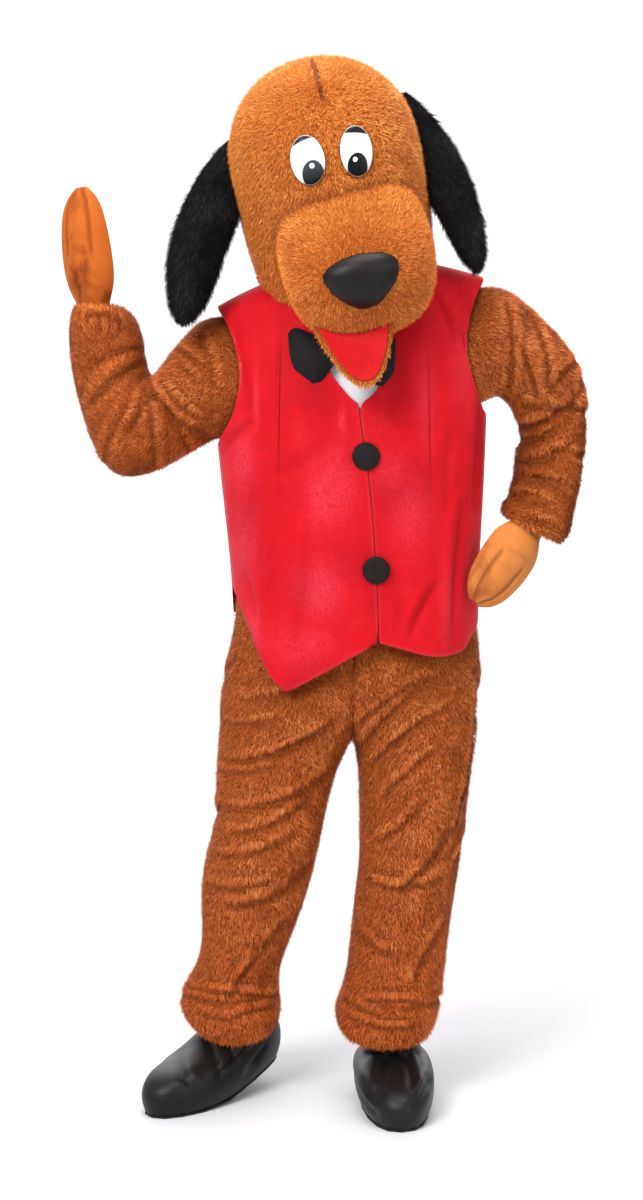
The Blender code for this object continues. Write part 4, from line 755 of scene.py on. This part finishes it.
def mixed(tree, share, first, second):
    """A colour between two, each a colour or a socket."""
    made = add_node(tree, "ShaderNodeMix", data_type="RGBA")
    for place, value in ((0, share), (6, first), (7, second)):
        if isinstance(value, bpy.types.NodeSocket):
            tree.links.new(value, made.inputs[place])
        else:
            made.inputs[place].default_value = (*value, 1) if place else value
    return made.outputs[2]


def oval_share(tree, place, middle, half_sizes, turn):
    """A socket that is under 1 inside a turned oval of a flat map, and 1 on its edge."""
    put = add_node(tree, "ShaderNodeMapping",
                   {"Vector": place, "Location": (*middle, 0), "Rotation": (0, 0, turn),
                    "Scale": (half_sizes[0], half_sizes[1], 1)}, vector_type="TEXTURE")
    away = add_node(tree, "ShaderNodeVectorMath", {0: put.outputs["Vector"]}, operation="LENGTH")
    return away.outputs["Value"]


def inked(tree, share, soft=0.03):
    """1 inside an oval and 0 outside it, with a slightly soft edge."""
    return rescaled(tree, share, 1 - soft, 1 + soft, 1, 0)


def worked(tree, operation, first, second, **settings):
    """Two values added or multiplied, as a socket."""
    made = add_node(tree, "ShaderNodeMath", {0: first, 1: second}, operation=operation, **settings)
    return made.outputs["Value"]


DART_SHADE, DART_SOFT = 0.4, 0.4
EDGE_REACH, EDGE_HIGHLIGHT = 0.006, 0.2


def velour(name, deep, main, crushed, sheen_tint, patches=9.0, sheen=0.1, darts=()):
    """Crushed velour: deep and main tones in soft patches, and mottled crushed pile where the attribute
    "crushed" says so and here and there besides. Painted shade draws it towards the deep tone where the
    attribute "pressed" says it lies in a fold, and a painted highlight pales it towards the crushed tone near
    its edges. Each dart is a thin oval of painted shade: its middle, half sizes and turn."""
    made, tree, shader = new_finish(name, 0.7, sheen, sheen_tint, shine=0.12)
    patch = speckle(tree, patches, 5, 0.62, (1, 1, 0.6), 0.6)
    mottle = speckle(tree, 230, 3, 0.7, (1, 1, 0.7))
    nap = speckle(tree, 900, 2, 0.6)
    colour = ramp(tree, patch, ((0.28, deep), (0.5, main)))
    here_and_there = rescaled(tree, patch, 0.52, 0.8, to_high=0.5)
    flat = worked(tree, "ADD", here_and_there, written(tree, "crushed"))
    broken = rescaled(tree, mottle, 0.34, 0.66, 0.25)
    colour = mixed(tree, worked(tree, "MULTIPLY", flat, broken, use_clamp=True), colour, crushed)
    colour = dimmed(tree, colour, rescaled(tree, nap, to_low=0.8, to_high=1.18))
    # Painted shade: the colour sinks towards the deep tone where the attribute "pressed" says the cloth lies
    # in a fold trough.
    colour = mixed(tree, rescaled(tree, written(tree, "pressed"), high=0.8, to_high=0.55), colour, deep)
    # Painted highlight: near the edges the colour pales towards the crushed tone.
    colour = mixed(tree, worked(tree, "MULTIPLY", written(tree, "edge"), EDGE_HIGHLIGHT), colour, crushed)
    if darts:
        split = add_node(tree, "ShaderNodeSeparateXYZ", {"Vector": scaled_place(tree)})
        front = add_node(tree, "ShaderNodeCombineXYZ", {"X": split.outputs["X"], "Y": split.outputs["Z"]})
        # Painted shade along each dart's crease.
        for middle, sizes, turn in darts:
            line = inked(tree, oval_share(tree, front.outputs["Vector"], middle, sizes, turn), DART_SOFT)
            colour = mixed(tree, line, colour, [DART_SHADE * c for c in deep])
    tree.links.new(colour, shader.inputs["Base Color"])
    emboss(tree, shader, (0.5, 0.003, patch), (0.35, 0.0006, nap))
    return made


def satin(name, deep, light, roughness, shine=0.4):
    """Satin: fine crosswise threads, soft tone changes and painted shade where it was pressed into folds."""
    made, tree, shader = new_finish(name, roughness, shine=shine)
    soft = speckle(tree, 12, 4, 0.6)
    thread = add_node(tree, "ShaderNodeTexWave",
                      {"Vector": scaled_place(tree), "Scale": 70, "Distortion": 1.5, "Detail": 2},
                      bands_direction="Z").outputs["Fac"]
    # Painted shade: the colour sinks towards the deep tone where the attribute "pressed" says the cloth lies
    # in a fold trough.
    painted_fold_shade = rescaled(tree, written(tree, "pressed"), high=0.9, to_high=0.6)
    colour = mixed(tree, painted_fold_shade, ramp(tree, soft, ((0.32, deep), (0.66, light))), deep)
    tree.links.new(colour, shader.inputs["Base Color"])
    emboss(tree, shader, (0.4, 0.003, soft), (0.12, 0.0003, thread))
    return made


CRUSHED = (
    # across, up, half width, half height, how much
    (-0.042, -0.35, 0.04, 0.06, 0.7),
    (-0.198, -0.3, 0.026, 0.06, 0.75),
    (-0.196, -0.45, 0.028, 0.09, 0.7),
    (-0.064, -0.52, 0.04, 0.05, 0.75),
    (-0.096, -0.62, 0.06, 0.04, 0.45),
    (-0.18, -0.59, 0.018, 0.06, 0.7),
    (0.094, -0.395, 0.035, 0.06, 0.55),
    (0.06, -0.32, 0.03, 0.04, 0.45),
    (0.19, -0.14, 0.022, 0.07, 0.45),
    (0.12, -0.2, 0.016, 0.08, 0.35),
    (-0.024, -0.232, 0.006, 0.022, 0.8),
    (-0.17, -0.2, 0.005, 0.05, 0.6),
    (0.16, -0.545, 0.016, 0.07, 0.45),
)


def stroke_pile(cloth, patches):
    """Marks where the pile has been crushed flat, as the attribute "crushed"."""
    places, _ = points_of(cloth.data)
    much = np.zeros(len(places))
    for x, z, half_width, half_height, share in patches:
        off = ((places[:, 0] - x) / half_width) ** 2 + ((places[:, 2] - z) / half_height) ** 2
        much = np.maximum(much, share * np.exp(-off))
    cloth.data.attributes.new("crushed", "FLOAT", "POINT").data.foreach_set("value", much)


NECKLINE = (
    # across, up, moved across, moved up, reach
    (0.006, -0.226, -0.003, 0.017, 0.024),
    (0.022, -0.181, 0.016, 0.004, 0.03),
)


def ease_cloth(cloth, pulls):
    """Pulls a cloth's points across and up, most at the middle of each pull and less towards its reach."""
    places, _ = points_of(cloth.data)
    for x, z, across, up, reach in pulls:
        share = np.exp(-((places[:, 0] - x) ** 2 + (places[:, 2] - z) ** 2) / reach**2)
        places[:, 0] += across * share
        places[:, 2] += up * share
    cloth.data.vertices.foreach_set("co", places.ravel())
    cloth.data.update()


VEST_DARTS = (
    ((-0.13, -0.215), (0.0011, 0.115), math.radians(-1)),
    ((0.1255, -0.235), (0.0007, 0.11), math.radians(1)),
)
red_velour = velour(
    "red_velour", (0.37, 0.001, 0.007), (0.52, 0.002, 0.008), (0.66, 0.042, 0.075), (1.0, 0.3, 0.32),
    darts=VEST_DARTS,
)
red_satin = satin("red_satin", (0.34, 0.002, 0.008), (0.54, 0.005, 0.012), 0.42)
lining = satin("red_lining", (0.3, 0.002, 0.007), (0.44, 0.006, 0.012), 0.5)
for side in ("right", "left"):
    front = cut_cloth(f"vest_front_{side}", 3, f"waistcoat_front_{side}")
    ease_cloth(front, NECKLINE)
    press_folds(front, VEST_FOLDS[side])
    stroke_pile(front, CRUSHED)
    mark_edges(front, EDGE_REACH)
    finish_cloth(front, red_velour, lining)
    wear(front, "red_velour", f"waistcoat_front_{side}")
vest_back = cut_cloth("vest_back", 2, "waistcoat_back")
press_folds(vest_back, VEST_FOLDS["back"])
mark_edges(vest_back, EDGE_REACH)
finish_cloth(vest_back, red_satin, lining)
wear(vest_back, "red_satin", "waistcoat_back")

# The shirt front
# A bib of white satin, tacked to the suit's chest: only its lower point shows in the waistcoat's V.

white_satin = satin("white_satin", (0.86, 0.86, 0.9), (0.98, 0.98, 0.99), 0.45)
shirt = cut_cloth("shirt_cloth", 2, "shirt_front")
press_folds(shirt, (
    (0, 10, -20, 20, -190, 0.02, 6, 3), (0, -40, -10, 4, -150, 0.02, 6, 3),
))
finish_cloth(shirt, white_satin, white_satin)
wear(shirt, "white_satin", "shirt_front")

# The buttons
# Two large domed buttons covered in black felt, sewn through the right front's edge.

black_felt = velour(
    "black_felt", (0.004, 0.003, 0.002), (0.011, 0.009, 0.008), (0.026, 0.021, 0.018), (0.6, 0.55, 0.5),
    40, 0.05,
)
for number in (1, 2):
    button = cut_cloth(f"felt_button_{number}", 2, f"button_{number}")
    finish_cloth(button, black_felt, black_felt)
    wear(button, "black_felt", f"button_{number}")

# The bow tie
# Two stuffed wings of black velour, pleated into a knot. The head hides most of it, and the right wing
# hangs out to a point.

bow_velour = velour(
    "bow_velour", (0.003, 0.003, 0.003), (0.009, 0.008, 0.009), (0.03, 0.028, 0.03), (0.6, 0.6, 0.7),
    22, 0.06,
)
BOW_RIDGE = math.radians(40)
WING_CORNERS = ((-0.093, -0.171, 0.0195, 0.004, 0.035), (-0.1087, -0.088, 0.0, 0.013, 0.03))
for part, corners in (("bow_wing_right", WING_CORNERS), ("bow_wing_left", ()), ("bow_knot", ())):
    wing = cut_cloth(f"{part}_cloth", 2, part, ridge=BOW_RIDGE)
    ease_cloth(wing, corners)
    finish_cloth(wing, bow_velour, bow_velour)
    wear(wing, "bow_velour", part)

# The head
# A face and a back of fur cloth over foam, sewn together down the sides, with a dart from the crown into
# the forehead. The pile is shorter and brighter than the suit's, and is brushed down and outwards.

HEAD_AT = np.array((-0.016, -0.016, 0.042))
HEAD_PITCH, HEAD_YAW, HEAD_ROLL = 20, 3, -13
head_turn = np.array(
    Matrix.Rotation(math.radians(HEAD_ROLL), 3, "Y")
    @ Matrix.Rotation(math.radians(HEAD_YAW), 3, "Z")
    @ Matrix.Rotation(math.radians(HEAD_PITCH), 3, "X")
)
BROW = HEAD_AT + head_turn @ (0.0, -0.155, 0.29)


def down_the_head(places):
    fall = head_turn @ (0.0, 0.0, -1.0)
    away = places - BROW
    away = away / np.linalg.norm(away, axis=1, keepdims=True)
    return away * 0.5 + fall


def warm_low(places):
    """The cheeks and the back of the head are redder than the brow."""
    height = (places - HEAD_AT) @ head_turn
    return np.clip(0.65 - height[:, 2] * 2.2, 0.1, 0.7)


orange_bed = pile_bed("orange_pile_bed", (0.12, 0.022, 0.004), (0.34, 0.078, 0.011), (0.56, 0.17, 0.03))
orange_hair = pile_hair(
    "orange_pile",
    ((0.0, (0.22, 0.04, 0.006)), (0.3, (0.55, 0.142, 0.016)), (0.55, (0.82, 0.262, 0.034)),
     (0.8, (0.97, 0.42, 0.08)), (0.97, (1.0, 0.6, 0.21))),
    ((0.03, (0.24, 0.036, 0.005)), (0.3, (0.5, 0.088, 0.011)), (0.55, (0.7, 0.155, 0.018)),
     (0.8, (0.84, 0.25, 0.038)), (1.0, (0.98, 0.45, 0.13))),
    0.45, 0.06, (1.0, 0.75, 0.5),
)
FACE_DART = (-75.5, 374, -52.5, 283)
FACE_FOLDS = ((0, *FACE_DART, 0, 3.5, 5),)
HEAD_HAIR = (0.011, 0.0015, (18, 62))


def beside(node, reach):
    """Gives how near each place lies to a solid: 1 on it, 0 at that reach."""
    other = frame["nodes"][node].data
    tree = BVHTree.FromPolygons([v.co for v in other.vertices], [p.vertices for p in other.polygons])

    def share(places):
        return np.array([1 - min(tree.find_nearest(Vector(p))[3] / reach, 1) for p in places])

    return share


EYE_SPOTS = {"right": (-0.041, 0.231), "left": (0.0405, 0.228)}
SHAVED = (0.029, 0.041)


def off_the_eyes(places):
    """The pile is shaved away where the eye discs lie on it."""
    on_face = (places - HEAD_AT) @ head_turn
    bare = np.zeros(len(places), bool)
    for x, z in EYE_SPOTS.values():
        bare |= ((on_face[:, 0] - x) / SHAVED[0]) ** 2 + ((on_face[:, 2] - z) / SHAVED[1]) ** 2 < 1
    return ~bare | (on_face[:, 1] > 0)


for part, folds, seams, hairs, seed in (
    ("face", FACE_FOLDS, (FACE_DART,), 66000, 41),
    ("back", (), (), 40000, 42),
):
    shell = cut_cloth(f"head_cloth_{part}", 2, f"head_{part}")
    press_folds(shell, folds)
    finish_cloth(shell, orange_bed, brown_backing)
    pile = grow_pile(shell, f"head_pile_{part}", hairs, *HEAD_HAIR, down_the_head, orange_hair, seed,
                     warm_low, off_the_eyes, folds, 0.6, beside("muzzle", 0.02), seams)
    wear(shell, "head_fur", f"head_{part}")
    wear(pile, "head_fur")

# The muzzle
# A big stuffed muzzle of the same fur, sewn round the lower face. Its pile is brushed away from the nose,
# so it looks lighter on top, and the seam above it lies in a red-brown shadow.

NOSE_AT = HEAD_AT + head_turn @ (0.0, -0.25, 0.075)


def from_the_nose(places):
    return places - NOSE_AT


muzzle = cut_cloth("muzzle_cloth", 2, "muzzle")
finish_cloth(muzzle, orange_bed, brown_backing)
pile = grow_pile(muzzle, "muzzle_pile", 46000, *HEAD_HAIR, from_the_nose, orange_hair, 51, warm_low,
                 tangle=0.6, shaded=beside("head_face", 0.014))
wear(muzzle, "head_fur", "muzzle")
wear(pile, "head_fur")

# The nose
# A stuffed nose of smooth black cloth, broad at the top, with a soft shine.

smooth_black = satin("nose_cloth", (0.005, 0.004, 0.004), (0.013, 0.011, 0.01), 0.42, shine=0.16)
nose = cut_cloth("nose_cloth", 2, "nose")
finish_cloth(nose, smooth_black, smooth_black)
wear(nose, "black_cloth", "nose")

# The open mouth
# The lower jaw hangs open: a tongue-shaped flap of fur cloth, lined with bright red felt, with a fringe of
# pile all round.

red_felt = velour(
    "mouth_felt", (0.38, 0.003, 0.006), (0.53, 0.007, 0.01), (0.6, 0.02, 0.024), (1.0, 0.4, 0.4), 14,
)
jaw = cut_cloth("jaw_cloth", 2, "jaw")
finish_cloth(jaw, orange_bed, orange_bed)
pile = grow_pile(jaw, "jaw_pile", 7000, 0.011, 0.0018, (10, 40), down, orange_hair, 61)
wear(jaw, "head_fur", "jaw")
wear(pile, "head_fur")
mouth = cut_cloth("mouth_cloth", 2, "mouth_lining")
finish_cloth(mouth, red_felt, red_felt)
wear(mouth, "red_felt", "mouth_lining")

# The eyes
# Two oval discs of white vinyl, printed with a pupil, a glint, a black lid and a thin grey rim.

PRINT_MAP = "print"
EYES = (
    # side, half sizes, pupil (across, up), its half sizes, glint (across, up), its radius,
    # lid's way (across, up), its growth, what the pupil mirrors
    ("right", (0.0285, 0.0405), (-0.037, 0.208), (0.018, 0.0235), (-0.0363, 0.2222), 0.0042,
     (0.0089, -0.1087), 3.52, (0.05, 0.06, 0.07)),
    ("left", (0.028, 0.041), (0.0369, 0.2042), (0.0172, 0.0228), (0.0356, 0.2168), 0.0039,
     (-0.0346, -0.1792), 5.17, (0.005, 0.005, 0.005)),
)
EYE_TURN = math.radians(-6)
PUPIL_TURN = math.radians(-12)
LID_SOFT, GLINT_SOFT = 0.03, 0.1
RIM_FROM, RIM_TO = 0.945, 0.97

for side, sizes, pupil, pupil_sizes, glint, glint_size, lid, lid_growth, sky in EYES:
    middle = EYE_SPOTS[side]
    vinyl, tree, shader = new_finish(f"eye_vinyl_{side}", 0.34, shine=0.16)
    place = add_node(tree, "ShaderNodeUVMap", uv_map=PRINT_MAP).outputs["UV"]
    under_lid = [m + k for m, k in zip(middle, lid)]
    beyond = oval_share(tree, place, under_lid, [s * lid_growth for s in sizes], EYE_TURN)
    open_eye = inked(tree, beyond, LID_SOFT / lid_growth)
    colour = mixed(tree, open_eye, (0.01, 0.01, 0.011), (0.9, 0.9, 0.91))
    height = add_node(tree, "ShaderNodeSeparateXYZ", {"Vector": place}).outputs["Y"]
    bright = rescaled(tree, height, pupil[1] - 0.5 * pupil_sizes[1], pupil[1] + pupil_sizes[1])
    dark = mixed(tree, bright, (0.002, 0.002, 0.002), sky)
    colour = mixed(tree, inked(tree, oval_share(tree, place, pupil, pupil_sizes, PUPIL_TURN)), colour, dark)
    shine_spot = inked(tree, oval_share(tree, place, glint, (glint_size, glint_size), 0), GLINT_SOFT)
    colour = mixed(tree, shine_spot, colour, (0.95, 0.95, 0.95))
    rim = rescaled(tree, oval_share(tree, place, middle, sizes, EYE_TURN), RIM_FROM, RIM_TO)
    tree.links.new(mixed(tree, rim, colour, (0.5, 0.51, 0.53)), shader.inputs["Base Color"])
    eye = cut_cloth(f"eye_disc_{side}", 1, f"eye_{side}")
    on_face = (points_of(eye.data)[0] - HEAD_AT) @ head_turn
    uv = eye.data.uv_layers.new(name=PRINT_MAP)
    uv.data.foreach_set("uv", on_face[[l.vertex_index for l in eye.data.loops]][:, (0, 2)].ravel())
    finish_cloth(eye, vinyl, vinyl)
    wear(eye, "white_vinyl", f"eye_{side}")

# The ears
# Stuffed hanging ears of long black fur, sewn into the side seams. Their pile is the longest, and wispy at
# the edges.

black_bed = pile_bed("black_pile_bed", (0.003, 0.003, 0.003), (0.008, 0.007, 0.007), (0.022, 0.02, 0.019))
black_hair = pile_hair(
    "black_pile",
    ((0.0, (0.002, 0.002, 0.002)), (0.4, (0.005, 0.005, 0.006)), (0.7, (0.013, 0.012, 0.012)),
     (0.97, (0.06, 0.052, 0.046))),
    ((0.03, (0.003, 0.002, 0.002)), (0.5, (0.008, 0.007, 0.006)), (1.0, (0.065, 0.048, 0.036))),
    0.5, 0.02, (0.8, 0.8, 0.9), 0.7, 0.08,
)


def along_the_ear(places):
    way = np.tile((0.0, 0.0, -1.0), (len(places), 1))
    way[:, 0] = np.sign(places[:, 0]) * 0.35
    return way


for side, seed in (("right", 71), ("left", 72)):
    ear = cut_cloth(f"ear_cloth_{side}", 2, f"ear_{side}")
    finish_cloth(ear, black_bed, black_bed)
    pile = grow_pile(ear, f"ear_pile_{side}", 24000, 0.021, 0.0016, (10, 46), along_the_ear, black_hair, seed)
    wear(ear, "black_fur", f"ear_{side}")
    wear(pile, "black_fur")

# The mitts
# Wadded backs of tan velour with three finger rolls, stitched along two grooves, open at the palm. A ribbed
# white elastic crosses each palm.

MITTS = {
    # wrist, tip, the way the back of the hand faces, its tones from deep to crushed; the two mitts are one
    # tan velour, and their different tones are painted light and shade, the left mitt lighter
    "right": ((-0.4552, 0.008, -0.05), (-0.4842, -0.006, 0.174), (-0.45, -0.89, 0.0),
              ((0.16, 0.024, 0.002), (0.42, 0.09, 0.01), (0.56, 0.16, 0.028))),
    "left": ((0.31, -0.028, -0.4142), (0.21, -0.112, -0.5442), (0.35, -0.94, 0.1),
             ((0.22, 0.055, 0.01), (0.51, 0.165, 0.037), (0.62, 0.26, 0.085))),
}
MITT_WIDTHS = (
    # share of the length, half width
    (0.0, 0.028), (0.17, 0.041), (0.28, 0.049), (0.4, 0.051),
    (0.68, 0.047), (0.8, 0.042), (0.89, 0.034), (1.0, 0.01),
)
MITT_FOLDS = {
    "right": (
        (0, -512, 78, -462, 86, 0.12, 3, 3), (0, -508, 60, -455, 52, 0.1, 4, 2.5),
        (0, -500, 30, -450, 18, 0.1, 4, 2.5), (0, -490, 0, -440, -12, 0.1, 4, 2.5),
        (-45, -360, 70, -310, 60, 0.1, 4, 2.5),
    ),
    "left": (
        (0, 262, -452, 310, -486, 0.08, 4, 3), (0, 240, -470, 290, -520, 0.08, 3, 2),
        (0, 300, -420, 330, -450, 0.08, 4, 2.5),
    ),
}
GROOVE_ACROSS, GROOVE_FROM, GROOVE_FADE = 0.5, 0.46, 0.05
GROOVE_WIDTH, GROOVE_DEPTH = 0.003, 0.0022

for side, (wrist, tip, back, tones) in MITTS.items():
    # Each mitt's velour is toned apart from the other's as painted light and shade.
    tan = velour(f"tan_velour_{side}", *tones, (1.0, 0.7, 0.4), 16, 0.15)
    mitt = cut_cloth(f"mitt_cloth_{side}", 2, f"mitt_{side}")
    press_folds(mitt, MITT_FOLDS[side])
    reach = np.array(tip) - wrist
    length = np.linalg.norm(reach)
    ahead = reach / length
    outward = np.array(back) - ahead * np.dot(back, ahead)
    outward /= np.linalg.norm(outward)
    sideways = np.cross(ahead, outward)
    places, turned = points_of(mitt.data)
    off = places - wrist
    share = off @ ahead / length
    half = np.interp(share, *zip(*MITT_WIDTHS))
    near = np.abs(np.abs(off @ sideways) / half - GROOVE_ACROSS) * half
    deep = np.exp(-((near / GROOVE_WIDTH) ** 2)) * np.clip((share - GROOVE_FROM) / GROOVE_FADE, 0, 1)
    deep *= right_side_points(mitt.data) * np.clip((turned @ outward) * 2, 0, 1)
    mitt.data.vertices.foreach_set("co", (places - turned * (deep * GROOVE_DEPTH)[:, None]).ravel())
    # The grooves' depth is added to "pressed", so the velour paints shade in them as it does in folds.
    pressed = np.empty(len(deep))
    mitt.data.attributes["pressed"].data.foreach_get("value", pressed)
    mitt.data.attributes["pressed"].data.foreach_set("value", pressed + deep)
    finish_cloth(mitt, tan, tan)
    wear(mitt, "tan_velour", f"mitt_{side}")

elastic, tree, shader = new_finish("white_elastic", 0.85, 0.2, shine=0.2)
rib = add_node(tree, "ShaderNodeTexWave", {"Vector": scaled_place(tree), "Scale": 260, "Distortion": 0.4},
               bands_direction="Z").outputs["Fac"]
ribbed = ramp(tree, rib, ((0.2, (0.62, 0.62, 0.62)), (0.7, (0.88, 0.88, 0.87))))
tree.links.new(ribbed, shader.inputs["Base Color"])
emboss(tree, shader, (0.5, 0.0005, rib))
for side in ("right", "left"):
    strap = cut_cloth(f"strap_{side}", 2, f"mitt_strap_{side}")
    finish_cloth(strap, elastic, elastic)
    wear(strap, "white_elastic", f"mitt_strap_{side}")

# The shoe covers
# Uppers of plain black cloth with a soft sheen, gathered round the ankles, with slack creases over the
# instep, each on a thin sheet sole.

SHOE_FOLDS = {
    "right": (
        (-38, -190, -1320, -70, -1345, 0.1, 5.5, 7.5), (-38, -200, -1340, -90, -1372, 0.1, 5.5, 7),
        (-38, -190, -1365, -100, -1398, 0.08, 5.5, 5), (-38, -155, -1350, -110, -1410, 0.02, 5, 5),
        (0, -300, -1330, -236, -1404, 0.1, 5.5, 8), (0, -262, -1330, -206, -1392, 0.1, 5, 6),
        (0, -180, -1350, -250, -1420, 0.1, 5.5, 7.5), (0, -160, -1370, -196, -1430, 0.1, 5, 6),
        (0, -330, -1376, -276, -1420, 0.1, 5, 6), (52, 20, -1340, 80, -1400, 0.1, 6, 7),
        (180, 150, -1350, 250, -1360, 0.1, 6, 6), (180, 140, -1390, 250, -1384, 0.1, 6, 6),
    ),
    "left": (
        (0, 73.5, -1370, 78, -1456, 0, 1.6, 2.4), (0, 76, -1358, 30, -1400, 0.08, 4.5, 7),
        (0, 70, -1352, 2, -1386, 0.08, 4.5, 6.5), (0, 76, -1358, 110, -1396, 0.08, 4.5, 7),
        (0, 80, -1352, 136, -1366, 0.08, 4.5, 6.5), (0, 140, -1392, 98, -1422, 0.12, 6, 9),
        (0, -6, -1408, 42, -1434, -0.12, 6, 9), (0, 30, -1335, 118, -1338, 0.12, 4.5, 6),
        (0, 60, -1372, 40, -1412, 0.06, 4, 4), (0, 90, -1376, 104, -1408, 0.06, 4, 4),
        (180, -30, -1350, -120, -1356, 0.1, 6, 6), (180, -30, -1390, -120, -1384, 0.1, 6, 6),
    ),
}
shoe_cloth = satin("shoe_cloth", (0.003, 0.003, 0.003), (0.01, 0.009, 0.008), 0.44, shine=0.24)
sole_sheet, tree, shader = new_finish("sole_sheet", 0.7, shine=0.3)
specks = add_node(tree, "ShaderNodeTexVoronoi", {"Vector": scaled_place(tree), "Scale": 260})
grit = specks.outputs["Distance"]
gritty = ramp(tree, grit, ((0.1, (0.03, 0.03, 0.032)), (0.6, (0.01, 0.01, 0.011))))
tree.links.new(gritty, shader.inputs["Base Color"])
emboss(tree, shader, (0.5, 0.0006, grit))
for side in ("right", "left"):
    upper = cut_cloth(f"shoe_cloth_{side}", 2, f"shoe_upper_{side}")
    press_folds(upper, SHOE_FOLDS[side])
    finish_cloth(upper, shoe_cloth, shoe_cloth)
    wear(upper, "black_cloth", f"shoe_upper_{side}")
    sole = frame["nodes"][f"shoe_sole_{side}"]
    sole.data.materials.clear()
    sole.data.materials.append(sole_sheet)

size = {"cad": [list(corner) for corner in cad_box], "visual": [list(corner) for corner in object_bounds()]}
